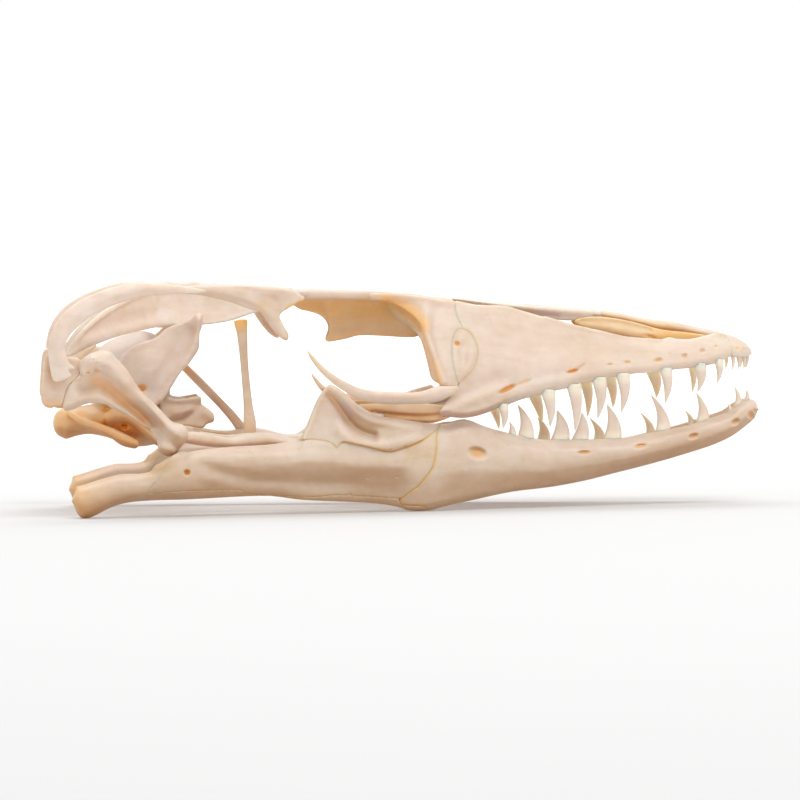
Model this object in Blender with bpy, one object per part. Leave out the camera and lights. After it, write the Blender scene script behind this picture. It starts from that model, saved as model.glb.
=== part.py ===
# Monitor lizard skull with its lower jaw, one solid per bone.
# Metres. +X is the snout, +Z is up, -Y is the animal's right side (the near side).
import math
import bpy
import bmesh
from mathutils import Vector

for _o in list(bpy.data.objects):
    bpy.data.objects.remove(_o, do_unlink=True)

# ---------------------------------------------------------------- dimensions
MM = 0.001
UNIT = 0.0002            # one side-view unit at the mid plane
FOCUS = 5300.0           # distance of the side view's eye point, in units
VIEW_YAW = math.radians(4.2)      # eye point lies this far toward the back of the head
VIEW_TILT = math.radians(1.6)     # and this far above the mid height
VIEW_ROLL = math.radians(0.72)
MID_U, MID_V = 400.0, 400.0
MID_HEIGHT = 0.02120     # height of the view centre above the ground
LEFT_SAG = 0.0010        # drop of the left tooth row of the lower jaw
LEFT_LOW = 0.085         # the left branch is this much lower behind its tooth row
LEFT_LEAN = 0.0028       # and its coronoid peak leans forward
LEFT_ORBIT = 0.0014      # the front edge of the left orbit stands this much farther forward
TOOTH_SIDES = 4

# ---------------------------------------------------------------- side view to space
_cy, _sy = math.cos(VIEW_YAW), math.sin(VIEW_YAW)
_ct, _st = math.cos(VIEW_TILT), math.sin(VIEW_TILT)
_fwd = Vector((_sy * _ct, _cy * _ct, -_st))
_r0 = Vector((_cy, -_sy, 0.0))
_u0 = _r0.cross(_fwd)
_right = _r0 * math.cos(VIEW_ROLL) - _u0 * math.sin(VIEW_ROLL)
_up = _u0 * math.cos(VIEW_ROLL) + _r0 * math.sin(VIEW_ROLL)
_centre = Vector((0.0, 0.0, MID_HEIGHT))
_eye = _centre - _fwd * (FOCUS * UNIT)


def at(u, v, w):
    """Point of the outline (u, v) that lies w millimetres to the animal's right."""
    ray = _fwd + _right * ((u - MID_U) / FOCUS) - _up * ((v - MID_V) / FOCUS)
    k = (-w * MM - _eye.y) / ray.y
    return _eye + ray * k


def lerp(table, x):
    """Value at x of a table of (x, value) rows, straight between rows."""
    if x <= table[0][0]:
        return table[0][1]
    for (x0, y0), (x1, y1) in zip(table, table[1:]):
        if x <= x1:
            return y0 + (y1 - y0) * (x - x0) / (x1 - x0)
    return table[-1][1]


# ---------------------------------------------------------------- solid makers
def new_object(name, bm):
    bmesh.ops.recalc_face_normals(bm, faces=bm.faces[:])
    bmesh.ops.triangulate(bm, faces=bm.faces[:])
    if bm.calc_volume(signed=True) < 0:
        bmesh.ops.reverse_faces(bm, faces=bm.faces[:])
    me = bpy.data.meshes.new(name)
    bm.to_mesh(me)
    bm.free()
    ob = bpy.data.objects.new(name, me)
    bpy.context.scene.collection.objects.link(ob)
    return ob


def loft(name, rings, side=1):
    """Closed solid through a row of rings with equal point counts."""
    bm = bmesh.new()
    rows = []
    for ring in rings:
        rows.append([bm.verts.new((p[0], p[1] * side, p[2])) for p in ring])
    n = len(rows[0])
    for a, b in zip(rows, rows[1:]):
        for i in range(n):
            j = (i + 1) % n
            bm.faces.new((a[i], a[j], b[j], b[i]))
    bm.faces.new(rows[0][::-1])
    bm.faces.new(rows[-1])
    return new_object(name, bm)


def plate(name, ribs, thick, side=1):
    """Curved plate: ribs are rows of (u, v, w); thick is millimetres toward the mid plane."""
    rings = []
    for i, rib in enumerate(ribs):
        t = thick[i] if isinstance(thick, list) and isinstance(thick[0], (list, tuple)) else thick
        tj = [t[j] if isinstance(t, (list, tuple)) else t for j in range(len(rib))]
        outer = [at(*p) for p in rib]
        inner = [at(p[0], p[1], p[2] - tj[j]) for j, p in enumerate(rib)]
        rings.append(outer + inner[::-1])
    return loft(name, rings, side)


def tube(name, stations, sides=6, side=1):
    """Solid rod: stations (u, v, w, a, b): a in the side view, b across it, both mm."""
    pts = [at(s[0], s[1], s[2]) for s in stations]
    rings = []
    for i, s in enumerate(stations):
        p0, p1 = pts[max(i - 1, 0)], pts[min(i + 1, len(pts) - 1)]
        t = (p1 - p0).normalized()
        lat = Vector((0, -1, 0)) - t * t.dot(Vector((0, -1, 0)))
        lat.normalize()
        nrm = lat.cross(t).normalized()
        ring = []
        for k in range(sides):
            an = 2 * math.pi * (k + 0.5) / sides
            ring.append(pts[i] + nrm * (s[3] * MM * math.cos(an)) + lat * (s[4] * MM * math.sin(an)))
        rings.append(ring)
    return loft(name, rings, side)


def hoops(name, rows, side=1):
    """Solid through closed outlines, each a list of (u, v, w)."""
    return loft(name, [[at(*p) for p in row] for row in rows], side)


def paired(name, rows):
    """Solid across the mid plane: a point with negative w mirrors the one with positive w."""
    rings = []
    for row in rows:
        ring = []
        for u, v, w in row:
            p = at(u, v, abs(w))
            ring.append(Vector((p.x, p.y if w >= 0 else -p.y, p.z)))
        rings.append(ring)
    return loft(name, rings)


def ellipse_rows(table, sides=8):
    """Symmetric hoops about the mid plane from rows (u, top v, bottom v, half width)."""
    rows = []
    for u, vt, vb, hw in table:
        row = []
        for k in range(sides):
            an = 2 * math.pi * (k + 0.5) / sides
            row.append((u, (vt + vb) / 2 - (vb - vt) / 2 * math.cos(an), hw * math.sin(an)))
        rows.append(row)
    return rows


def tooth(base_a, base_b, v_base, tip, w, half, side=1, root=4.0, tip_w=None):
    """Recurved conical tooth. The base runs from base_a to base_b at v_base."""
    bu = (base_a + base_b) / 2
    hb = abs(base_b - base_a) / 2
    sgn = 1.0 if tip[1] > v_base else -1.0
    tw = w if tip_w is None else tip_w
    rows = []
    for f, scale in ((-root / abs(tip[1] - v_base), 1.0), (0.0, 1.0), (0.5, 0.72), (0.93, 0.18)):
        v = v_base + (tip[1] - v_base) * f
        g = max(f, 0.0)
        u = bu + (tip[0] - bu) * (g ** 1.5) + hb * 0.35 * math.sin(math.pi * min(g, 1.0))
        ww = w + (tw - w) * g
        row = []
        for k in range(TOOTH_SIDES):
            an = 2 * math.pi * (k + 0.25) / TOOTH_SIDES
            row.append((u + hb * scale * math.cos(an), v, ww + half * scale * math.sin(an)))
        rows.append(row)
    return hoops("tooth_piece", rows, side)


def apply_boolean(ob, other, kind):
    mod = ob.modifiers.new("join", 'BOOLEAN')
    mod.operation = kind
    mod.solver = 'EXACT'
    mod.object = other
    bpy.context.view_layer.update()
    dg = bpy.context.evaluated_depsgraph_get()
    me = bpy.data.meshes.new_from_object(ob.evaluated_get(dg), depsgraph=dg)
    ob.modifiers.clear()
    old = ob.data
    ob.data = me
    bpy.data.meshes.remove(old)


def drop(ob):
    bpy.data.objects.remove(ob, do_unlink=True)


def union(name, obs):
    base = obs[0]
    for o in obs[1:]:
        apply_boolean(base, o, 'UNION')
        drop(o)
    base.name = name
    return base


def gather(name, obs):
    """One object that holds several solids which stand clear of each other."""
    bm = bmesh.new()
    for o in obs:
        bm.from_mesh(o.data)
        drop(o)
    return new_object(name, bm)


def copy_of(ob, name):
    o = bpy.data.objects.new(name, ob.data.copy())
    bpy.context.scene.collection.objects.link(o)
    return o


def mirror_of(ob, name):
    """The same bone on the other side of the mid plane."""
    bm = bmesh.new()
    bm.from_mesh(ob.data)
    for v in bm.verts:
        v.co.y = -v.co.y
    bmesh.ops.reverse_faces(bm, faces=bm.faces[:])
    return new_object(name, bm)


def both(maker, name):
    """maker(name, side) for the right (side 1) and the left (side -1)."""
    return [maker(name + "_r", 1), maker(name + "_l", -1)]


BONES = []


def keep(*obs):
    for o in obs:
        if isinstance(o, (list, tuple)):
            keep(*o)
        else:
            BONES.append(o)


# ---------------------------------------------------------------- muzzle surface
MUZ_TOP_V = [(415, 294), (440, 298), (453, 300), (503, 305.5), (553, 319.5), (600, 331),
             (659, 339), (700, 336), (729, 340)]
MUZ_LOW_V = [(415, 404), (441, 416), (480, 414), (541, 395), (600, 381), (660, 372),
             (720, 361), (734, 354)]
MUZ_TOP_W = [(415, 10.5), (430, 10.0), (453, 9.5), (480, 8.5), (503, 7.8), (553, 6.5),
             (600, 5.8), (659, 5.2), (700, 4.5), (729, 3.9)]
MUZ_LOW_W = [(415, 23), (441, 22), (480, 19), (512, 17.2), (541, 15.6), (575, 14.2),
             (600, 13.0), (660, 11.0), (700, 9.4), (729, 7.2), (740, 6.0)]


def muzzle(u, v, inset=0.0):
    top, low = lerp(MUZ_TOP_V, u), lerp(MUZ_LOW_V, u)
    s = min(max((v - top) / (low - top), 0.0), 1.0)
    w = lerp(MUZ_TOP_W, u) + (lerp(MUZ_LOW_W, u) - lerp(MUZ_TOP_W, u)) * (1 - (1 - s) ** 1.7)
    return w - inset


def rib(top, low, count=4, inset=0.0):
    out = []
    for k in range(count):
        f = k / (count - 1)
        u, v = top[0] + (low[0] - top[0]) * f, top[1] + (low[1] - top[1]) * f
        out.append((u, v, muzzle(u, v, inset)))
    return out


# ---------------------------------------------------------------- maxilla and its teeth
MAXILLA_RIBS = [((442.5, 409), (444, 415.5)), ((452, 399.5), (456, 417.5)),
                ((462, 388.5), (470, 415.5)), ((475, 378.5), (485, 412.8)),
                ((481.5, 362), (494, 410)), ((481.8, 349), (503, 407)),
                ((477.5, 337), (510, 404)), ((465.5, 326), (516, 401.5)),
                ((457, 313), (523, 399.5)), ((455, 302), (532, 397)),
                ((480, 305), (541, 394.8)), ((503, 305.5), (554, 391)),
                ((530, 313), (567, 388.4)), ((553, 319.5), (580, 383.3)),
                ((574, 325.5), (595, 381)), ((600, 331.3), (612, 377.5)),
                ((627, 338), (634, 373.7)), ((659, 339.3), (660, 372)),
                ((680, 339), (680, 369)), ((704, 335.8), (703, 366)),
                ((718, 334.5), (720, 361.5)), ((727.5, 340.5), (731.5, 355.5))]

# base from, base to, base height, tip (u, v)
TEETH_UP_R = [(498, 508, 407.6, (502.9, 428.6)), (541, 554.6, 393.5, (550, 426.7)),
              (567, 581, 388, (575, 431)), (592, 606, 381, (597.7, 418.5)),
              (616, 629.6, 377, (621.3, 412.2)), (660, 672, 371.6, (665, 403.8)),
              (694, 706, 367, (697.5, 392.4)), (714.4, 723, 363, (717, 383.5))]
TEETH_UP_L = [(489.5, 499, 410, (499, 429)), (528, 541, 396, (542, 422.9)),
              (580, 592, 383, (587.5, 417)), (604, 616, 379, (613, 408)),
              (646, 660, 373, (656.5, 397.8)), (688, 696.6, 367.6, (692, 393))]


def maxilla(name, side):
    ribs = [rib(a, b) for a, b in MAXILLA_RIBS]
    thick = []
    for i, r in enumerate(ribs):
        front = 0.75 if i > 17 else 1.0
        thick.append([1.1 * front, 1.2 * front, 1.5 * front, 2.8 * front])
    body = plate(name, ribs, thick, side)
    parts = [body]
    rows = TEETH_UP_R if side == 1 else TEETH_UP_L
    for a, b, vb, tip in rows:
        w = lerp(MUZ_LOW_W, (a + b) / 2) - 0.95
        tw = w - 0.1
        if side == 1:
            parts.append(tooth(a, b, vb, tip, w, 0.85, 1, tip_w=tw))
        else:
            o = tooth(a, b, vb, tip, -w, 0.85, 1, root=15.0, tip_w=-tw)
            parts.append(o)
    return union(name, parts)


keep(both(maxilla, "maxilla"))

# ---------------------------------------------------------------- premaxilla, nasal, septomaxilla
PREMAX_ROWS = [(604, 311.5, 316.5, 1.4), (640, 318.0, 324.0, 1.35), (673, 322.0, 329.0, 1.5),
               (700, 327.8, 336.0, 1.7), (714, 331.0, 344.0, 2.0), (732, 338.0, 352.0, 2.3)]


def premaxilla(name):
    bar = paired(name, ellipse_rows(PREMAX_ROWS, 6))
    rows = []
    for top, low, hw in (((730.3, 336.8), (732.6, 354), 2.0), ((731.8, 337.4), (734.2, 356), 5.8),
                         ((737, 339), (740.5, 356.3), 5.5), ((744, 342.4), (745.5, 356.3), 4.2),
                         ((749.5, 347), (749.5, 355.6), 2.4), ((751.8, 350.4), (751.6, 354), 0.9)):
        mid = ((top[0] * 0.65 + low[0] * 0.35), (top[1] * 0.65 + low[1] * 0.35))
        rows.append([(top[0], top[1], 0.0), (mid[0], mid[1], hw * 0.86), (low[0], low[1] - 2, hw),
                     (low[0], low[1], hw * 0.8), (low[0], low[1], -hw * 0.8),
                     (low[0], low[1] - 2, -hw), (mid[0], mid[1], -hw * 0.86)])
    head = paired("head", rows)
    parts = [bar, head]
    for a, b, vb, tip, w in ((734.2, 738.0, 355.5, (733.4, 370.7), 4.0), (737.6, 742, 355.5, (738.6, 369.8), 2.9),
                             (741.8, 746.5, 355.5, (743.6, 368.6), 1.5), (743.5, 748.5, 355.0, (745.2, 368.4), 0.0)):
        for s in ((1,) if w == 0 else (1, -1)):
            skew = 0.0 if s == 1 else 0.25      # the left row stands a little differently
            parts.append(tooth(a + skew, b + skew, vb, tip, w + skew * 0.4, 0.45, s, root=4.0))
    return union(name, [bar, head, gather("row", parts[2:])])


keep(premaxilla("premaxilla"))

NASAL_ROWS = [(452.5, 297.6, 299.8, 2.2), (470, 298.8, 303.5, 3.8), (503, 301.7, 309, 3.9),
              (530, 303.8, 313, 3.3), (560, 305.8, 316, 2.8), (590, 308.0, 317.5, 2.4),
              (601, 310.8, 317.6, 1.8)]
keep(paired("nasal", ellipse_rows(NASAL_ROWS, 8)))

SEPTO = [(580, 325, 3.7, 0.35, 0.25), (600, 325.5, 3.7, 0.9, 0.4), (628, 329, 3.7, 1.2, 0.4),
         (650, 333.5, 3.4, 0.7, 0.35), (658, 335.5, 3.2, 0.3, 0.25)]
keep(both(lambda n, s: tube(n, SEPTO, 6, s), "septomaxilla"))

# ---------------------------------------------------------------- frontal
# u, top v, edge v, edge w, root w of the orbital keel, keel bottom v, keel bottom w
FRONTAL_ROWS = [(289, 290.0, 290.5, 6.3, 3.8, 302, 3.4), (304, 289.6, 290.5, 7.0, 4.2, 308, 3.6),
                (320, 289.8, 290.8, 7.3, 4.4, 316, 3.0), (330, 290.2, 291.2, 7.3, 4.5, 338, 1.6),
                (346, 290.8, 291.6, 7.4, 4.6, 338, 1.5), (368, 291.4, 292.2, 7.6, 4.8, 335, 1.5),
                (392, 292.4, 293.2, 7.2, 5.0, 336, 1.6), (416, 295.0, 295.8, 7.0, 5.0, 335, 1.8),
                (436, 298.4, 298.8, 6.6, 4.6, 322, 2.6), (449, 300.6, 301.0, 6.0, 4.0, 310, 3.0)]


def frontal(name, side):
    rows = []
    for u, vt, ve, we, wr, vk, wk in FRONTAL_ROWS:
        rows.append([(u, vt, 0.25), (u, vt, we * 0.6), (u, ve, we), (u, ve + 6.0, we - 0.5),
                     (u, vt + 8.5, wr + 0.6), (u, vk, wk), (u, vk, wk - 0.9),
                     (u, vt + 11.0, wr - 1.0), (u, vt + 6.0, 0.25)])
    return hoops(name, rows, side)


keep(both(frontal, "frontal"))

# ---------------------------------------------------------------- prefrontal, lacrimal
PREFRONTAL_ROWS = [((419, 297), (450.5, 302)), ((420, 313), (452.3, 314)),
                   ((422.5, 330), (456, 326.0)), ((425, 340), (449.5, 340)),
                   ((428.2, 352), (448.8, 353)), ((432, 368), (451, 370)),
                   ((435.3, 383.6), (452.5, 383.0))]


def prefrontal(name, side):
    ribs = [rib(a, b, 3) for a, b in PREFRONTAL_ROWS]
    body = plate(name, ribs, [[1.9, 1.6, 1.2]] * 2 + [[2.6, 1.6, 1.1]] * 5, side)
    brow = tube("brow", [(371, 297.0, 8.5, 0.45, 0.35), (385, 298.5, 8.9, 0.9, 0.6),
                         (403, 302.5, 9.5, 1.7, 0.8), (421, 309, 10.1, 2.3, 0.8),
                         (430, 310, 10.4, 1.8, 0.6)], 6, side)
    wall = hoops("wall", [[(424.5, 338, 12.4), (427.5, 338, 12.4), (427.5, 341, 9.0), (424.5, 341, 9.0)],
                          [(429.5, 356, 16.5), (432.5, 356, 16.5), (432.5, 360, 9.4), (429.5, 360, 9.4)],
                          [(435.0, 378, 18.8), (438.5, 378, 18.8), (438.5, 381, 12.0), (435.0, 381, 12.0)]], side)
    return union(name, [body, brow, wall])


keep(both(prefrontal, "prefrontal"))

LACRIMAL_ROWS = [((457.5, 331.5), (465, 331)), ((452.8, 343), (473, 341.5)),
                 ((452.0, 353), (477.2, 352)), ((454.2, 369), (473, 368)), ((456, 381.5), (461.5, 381))]


def lacrimal(name, side):
    ribs = [rib(a, b, 3) for a, b in LACRIMAL_ROWS]
    return plate(name, ribs, 1.3, side)


keep(both(lacrimal, "lacrimal"))

# ---------------------------------------------------------------- jugal
JUGAL_R = [(307.6, 349.6, 26.4, 0.12, 0.12), (311.5, 357.5, 26.5, 0.36, 0.3), (321, 368.5, 26.5, 0.55, 0.45),
           (334.5, 379.8, 26.3, 0.78, 0.6), (353.5, 391.2, 25.9, 0.98, 0.75), (369, 396, 25.4, 1.15, 0.8),
           (387, 397.8, 24.7, 1.22, 0.85), (407, 398.3, 23.9, 1.2, 0.9), (423, 397.6, 23.3, 1.25, 0.9),
           (438, 393.8, 22.6, 1.45, 0.8), (449, 391.8, 21.9, 0.9, 0.6)]
# the left jugal hangs lower and its tip is shorter
JUGAL_L = [(311.5, 373.0, -25.8, 0.12, 0.12), (315.5, 380, -25.9, 0.36, 0.3), (323, 388.5, -25.9, 0.6, 0.5),
           (335, 395.0, -25.7, 0.8, 0.65), (352, 399.2, -25.2, 1.0, 0.75), (369, 400.0, -24.6, 1.1, 0.8),
           (389, 399.5, -23.9, 1.15, 0.85), (405, 398.0, -23.3, 1.15, 0.9), (418, 394.2, -22.7, 1.25, 0.8),
           (431.5, 388.5, -21.9, 0.85, 0.6)]
keep(tube("jugal_r", JUGAL_R, 6, 1), tube("jugal_l", JUGAL_L, 6, 1))


# ---------------------------------------------------------------- postorbitofrontal
def postorbitofrontal(name, side):
    roof = hoops(name, [[(270, 288.6, 8.0), (303, 289.8, 7.9), (302, 294, 8.0), (271, 293, 8.1)],
                        [(262, 287.0, 13.0), (302, 290.4, 12.5), (301, 298, 12.6), (264, 296, 13.1)],
                        [(252, 287.6, 18.4), (292, 290.0, 17.0), (293, 303, 16.8), (256, 306, 18.4)],
                        [(256, 290.0, 19.8), (284, 292.0, 18.8), (283, 301, 18.8), (260, 302, 19.7)]], side)
    bar = tube("bar", [(262, 297.5, 18.9, 1.9, 0.9), (240, 294.6, 20.8, 1.75, 1.1), (215, 291.4, 22.2, 1.1, 0.9),
                       (190, 289.8, 23.2, 0.75, 0.7), (168, 289.2, 24.0, 0.4, 0.4)], 6, side)
    horn = tube("horn", [(275, 296, 18.0, 2.2, 0.8), (271.5, 309, 18.6, 1.8, 1.0), (273, 319, 19.0, 1.35, 0.95),
                         (279.4, 330.5, 19.3, 1.05, 0.8), (285.6, 338.6, 19.4, 0.5, 0.45)], 6, side)
    return union(name, [roof, bar, horn])


keep(both(postorbitofrontal, "postorbitofrontal"))

# ---------------------------------------------------------------- parietal
# u, top v, edge v, edge w, wall bottom v, wall bottom w
PARIETAL_ROWS = [(285.5, 287.6, 288.6, 6.0, 296, 6.0), (268, 285.8, 286.8, 6.6, 304, 6.6),
                 (248, 284.8, 286.0, 6.6, 314, 7.4), (224, 284.6, 286.0, 5.8, 321, 7.8),
                 (202, 284.4, 286.2, 5.0, 323.6, 7.6), (180, 283.6, 286.0, 5.4, 324.5, 7.6),
                 (163, 283.6, 287.0, 6.8, 324.6, 8.6)]


def parietal(name):
    rows = []
    for u, vt, ve, we, vb, wb in PARIETAL_ROWS:
        half = [(u, vt, we * 0.5), (u, ve, we), (u, (ve + vb) / 2, we * 0.45 + wb * 0.55), (u, vb, wb),
                (u, vb, wb - 1.1), (u, (ve + vb) / 2 + 1, we * 0.45 + wb * 0.55 - 1.2), (u, ve + 6.5, we - 1.6)]
        other = [(a, b, -c) for a, b, c in half[::-1]]
        rows.append(half + other)
    table = paired(name, rows)
    parts = [table]
    for s in (1, -1):
        parts.append(tube("arm", [(172, 304.5, 6.9, 3.5, 0.9), (150, 307, 10.2, 3.3, 0.95),
                                  (120, 316, 15.4, 2.9, 0.9), (96, 326, 19.4, 2.5, 0.85),
                                  (77, 340, 23.0, 1.9, 0.75), (69.5, 352, 24.4, 1.1, 0.6)], 6, s))
    return union(name, parts)


keep(parietal("parietal"))

# ---------------------------------------------------------------- squamosal, supratemporal
SQUAMOSAL = [(205, 291.6, 24.6, 0.3, 0.25), (190, 291.0, 25.2, 0.65, 0.45), (172, 290.0, 25.9, 0.85, 0.6),
             (150, 290.4, 26.7, 1.15, 0.8), (130, 292.0, 27.2, 1.6, 0.9), (113, 297.0, 27.6, 1.75, 1.0),
             (98, 302.6, 27.9, 1.8, 1.0), (84, 309.4, 28.1, 1.9, 1.0), (71.5, 319.4, 28.3, 1.95, 1.0),
             (62, 330.5, 28.4, 1.8, 1.0), (57, 343, 28.5, 1.65, 0.95), (57, 356, 28.4, 1.75, 0.9),
             (60.5, 367, 28.2, 1.7, 0.8), (62.5, 377, 28.0, 1.3, 0.6)]
keep(both(lambda n, s: tube(n, SQUAMOSAL, 6, s), "squamosal"))

SUPRATEMPORAL = [(94, 346, 21.9, 0.35, 0.3), (80, 356, 24.2, 0.8, 0.4), (66, 366, 25.6, 1.6, 0.5),
                 (55, 379, 26.2, 2.2, 0.6), (50.5, 392, 26.2, 2.0, 0.7), (50, 404, 26.0, 1.2, 0.6)]
keep(both(lambda n, s: tube(n, SUPRATEMPORAL, 6, s), "supratemporal"))

# ---------------------------------------------------------------- quadrate
# upper edge, ridge border, trough, lower edge, each (u, v); then outer w of the four
QUADRATE_ROWS = [((83, 366), (80, 376), (73, 390), (66, 407), (28.6, 28.2, 27.2, 27.6)),
                 ((92, 355), (92, 372), (86, 387), (84.8, 404), (28.8, 28.6, 26.8, 27.6)),
                 ((110, 351.8), (107, 376), (103, 389), (106.4, 404), (28.4, 28.6, 26.6, 27.4)),
                 ((125, 367.3), (122, 389), (119, 399), (123, 413.5), (28.0, 28.4, 26.4, 27.2)),
                 ((141.5, 391.4), (136, 403), (134, 410), (139.6, 424), (27.8, 28.2, 26.4, 27.0)),
                 ((155, 404), (150, 418), (149, 425), (154.5, 436.4), (27.6, 28.0, 26.4, 26.8)),
                 ((168, 417), (162, 431), (160, 437), (159.2, 446), (27.8, 28.2, 26.8, 26.8)),
                 ((184, 428), (178, 440), (172, 446), (166.4, 453.6), (28.2, 28.6, 28.2, 27.6))]


def quadrate(name, side):
    rows = []
    for a, b, c, d, w in QUADRATE_ROWS:
        pts = (a, b, c, d)
        outer = [(p[0], p[1], w[k]) for k, p in enumerate(pts)]
        back = 24.9
        inner = [(a[0], a[1] + 1.5, back + 0.8), ((b[0] + c[0]) / 2, (b[1] + c[1]) / 2, back), (d[0], d[1] - 1, back + 0.6)]
        rows.append(outer + inner[::-1])
    return hoops(name, rows, side)


keep(both(quadrate, "quadrate"))

# ---------------------------------------------------------------- palate
PTERYGOID = [(176, 438, 22.4, 0.7, 0.5), (190, 438.5, 20.2, 1.2, 0.8), (210, 441, 17.4, 1.2, 0.9),
             (232, 443, 14.9, 1.1, 1.1), (250, 441.5, 13.2, 1.5, 1.5), (268, 440.5, 12.2, 1.5, 1.7),
             (292, 444, 11.6, 1.2, 2.0), (318, 441, 11.4, 1.2, 2.3), (344, 431, 11.6, 1.3, 2.5),
             (370, 420, 12.0, 1.3, 2.4), (392, 413.5, 12.3, 1.1, 1.8), (408, 410.5, 12.4, 0.6, 1.0)]
keep(both(lambda n, s: tube(n, PTERYGOID, 6, s), "pterygoid"))

EPIPTERYGOID_R = [(240.3, 322, 9.6, 1.4, 0.35), (242.3, 337, 9.9, 1.05, 0.55), (244, 360, 10.5, 0.8, 0.65),
                  (246, 383, 11.2, 0.8, 0.65), (248.2, 406, 12.2, 0.9, 0.65), (249.8, 424, 12.9, 1.25, 0.7),
                  (250, 431, 13.1, 1.1, 0.6)]
# the left one leans back along the braincase
EPIPTERYGOID_L = [(180, 362.5, -12.2, 0.7, 0.4), (200, 382.5, -12.6, 0.85, 0.6), (222, 405, -13.0, 0.85, 0.6),
                  (234, 417.5, -13.2, 1.0, 0.6), (238.6, 423.2, -13.3, 0.8, 0.5)]
keep(tube("epipterygoid_r", EPIPTERYGOID_R, 6, 1), tube("epipterygoid_l", EPIPTERYGOID_L, 6, 1))

ECTOPTERYGOID = [(402, 411.5, 15.6, 0.6, 0.6), (416, 409.3, 16.9, 0.7, 0.8), (428, 408.6, 18.0, 0.65, 0.7),
                 (437, 408.6, 18.6, 0.5, 0.5)]
keep(both(lambda n, s: tube(n, ECTOPTERYGOID, 6, s), "ectopterygoid"))

PALATINE = [(417, 405.5, 11.4, 0.5, 2.0), (436, 400, 11.6, 0.8, 2.8), (456, 395, 11.4, 0.8, 3.0),
            (474, 390, 10.2, 0.6, 2.2), (484, 387.5, 9.2, 0.4, 1.2)]
keep(both(lambda n, s: tube(n, PALATINE, 6, s), "palatine"))

VOMER = [(490, 386, 3.4, 0.4, 0.9), (520, 380, 3.2, 0.7, 1.7), (560, 371, 2.7, 0.7, 1.4),
         (620, 359, 2.1, 0.6, 1.2), (670, 351, 1.8, 0.5, 1.0), (704, 347.5, 1.4, 0.35, 0.6)]
keep(both(lambda n, s: tube(n, VOMER, 6, s), "vomer"))


# ---------------------------------------------------------------- braincase
def braincase(name):
    # central body from the occipital condyle to the sphenoid
    base = paired(name, ellipse_rows([(58.5, 413, 431, 1.6), (66, 408, 438.5, 4.2), (76, 406, 436, 5.2),
                                     (88, 404, 434.5, 7.5), (106, 402, 437, 9.0), (124, 400, 443.5, 9.6),
                                     (138, 398, 446.5, 9.2), (156, 396, 445, 7.6), (172, 396, 436, 5.0),
                                     (188, 397.5, 418, 3.6), (200, 397.5, 408, 2.2)], 8))
    shell = paired("vault", ellipse_rows([(92, 356, 414, 5.5), (104, 343, 424, 8.6), (124, 334, 428, 10.2),
                                         (142, 330, 424, 10.4), (158, 336, 416, 9.8), (170, 352, 404, 8.4)], 10))
    parts = [base, shell]
    for s in (1, -1):
        parts.append(plate("wing", [[(132, 352, 9.6), (130, 376, 10.6), (134, 400, 9.6)],
                                    [(150, 341, 9.6), (152, 372, 10.6), (156, 404, 9.0)],
                                    [(168, 329, 9.6), (172, 356, 10.2), (165, 396, 8.8)],
                                    [(184, 322, 9.6), (186, 344, 9.9), (178, 377, 8.9)],
                                    [(195, 315, 9.5), (199, 337, 9.6), (190, 361, 9.0)],
                                    [(202, 317, 9.3), (202, 325, 9.4), (198.5, 348, 9.1)]], 1.5, s))
        parts.append(tube("paroccipital", [(112, 384, 8.0, 3.4, 1.8), (96, 386, 13.5, 2.6, 1.4),
                                           (80, 392, 18.5, 2.2, 1.2), (64, 399, 22.6, 2.0, 1.0),
                                           (55, 401, 24.2, 1.4, 0.7)], 6, s))
        parts.append(tube("basipterygoid", [(176, 412, 3.0, 2.0, 1.2), (190, 414, 6.4, 2.2, 1.4),
                                            (203, 417, 9.4, 2.4, 1.2), (211, 417.5, 10.8, 1.6, 0.9)], 6, s))
    bone = union(name, parts)
    hollow = paired("hollow", ellipse_rows([(60, 372, 398, 3.2), (98, 362, 400, 4.6), (130, 352, 398, 6.4),
                                           (160, 352, 392, 6.2), (200, 344, 386, 5.6)], 8))
    apply_boolean(bone, hollow, 'DIFFERENCE')
    drop(hollow)
    bone.name = name
    return bone


keep(braincase("braincase"))

# ---------------------------------------------------------------- lower jaw
JAW_TOP = [(72.8, 494), (76, 487), (84, 484.6), (101, 479.2), (120, 474.2), (138, 473.6), (150, 471.5), (159, 464.5),
           (168, 458.6), (180, 453.6), (210, 448.6), (236, 446.4), (265, 444.8), (288, 441.8), (300, 437.7),
           (311.5, 412.5), (324.7, 388.4), (330.4, 384), (336.7, 387), (346, 394), (356, 403), (369, 411.3),
           (380, 416), (403, 419.4), (420.5, 422), (435.5, 423.4), (446, 422.8), (464.6, 419), (484, 426),
           (504, 431.8), (537, 438.8), (573, 439.4), (620, 438), (653.7, 432), (687, 425.2), (718, 415.8),
           (730, 411.2), (747, 399.5), (753, 399.3), (757.5, 404)]
JAW_LOW = [(72.8, 503), (76, 512.5), (80.7, 518.4), (93, 517.8), (101.5, 512.6), (110, 508), (122, 504), (134.6, 501.8),
           (159.5, 500.2), (190, 499.4), (236.6, 496.8), (270, 496), (300, 499.7), (334, 501.4), (369, 502.6),
           (397.6, 506.6), (410, 510.8), (429, 510.6), (443.5, 506.6), (480, 498.5), (512, 491.8), (552.7, 486.7),
           (586, 480.4), (613.6, 473.4), (640.4, 466.7), (667, 459.4), (694, 451.3), (714, 444.6), (731.4, 436.6),
           (745, 427), (754, 419), (757.5, 413)]
JAW_MID_W = [(72, 25.2), (92, 25.6), (134, 26.4), (165, 26.9), (185, 26.8), (210, 26.3), (250, 25.3), (300, 23.6),
             (340, 22.4), (380, 21.0), (420, 19.3), (441, 18.3), (460, 17.2), (512, 14.2), (560, 11.7), (620, 9.5),
             (670, 7.8), (710, 6.3), (735, 5.0), (750, 3.7), (758, 3.0)]
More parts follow.
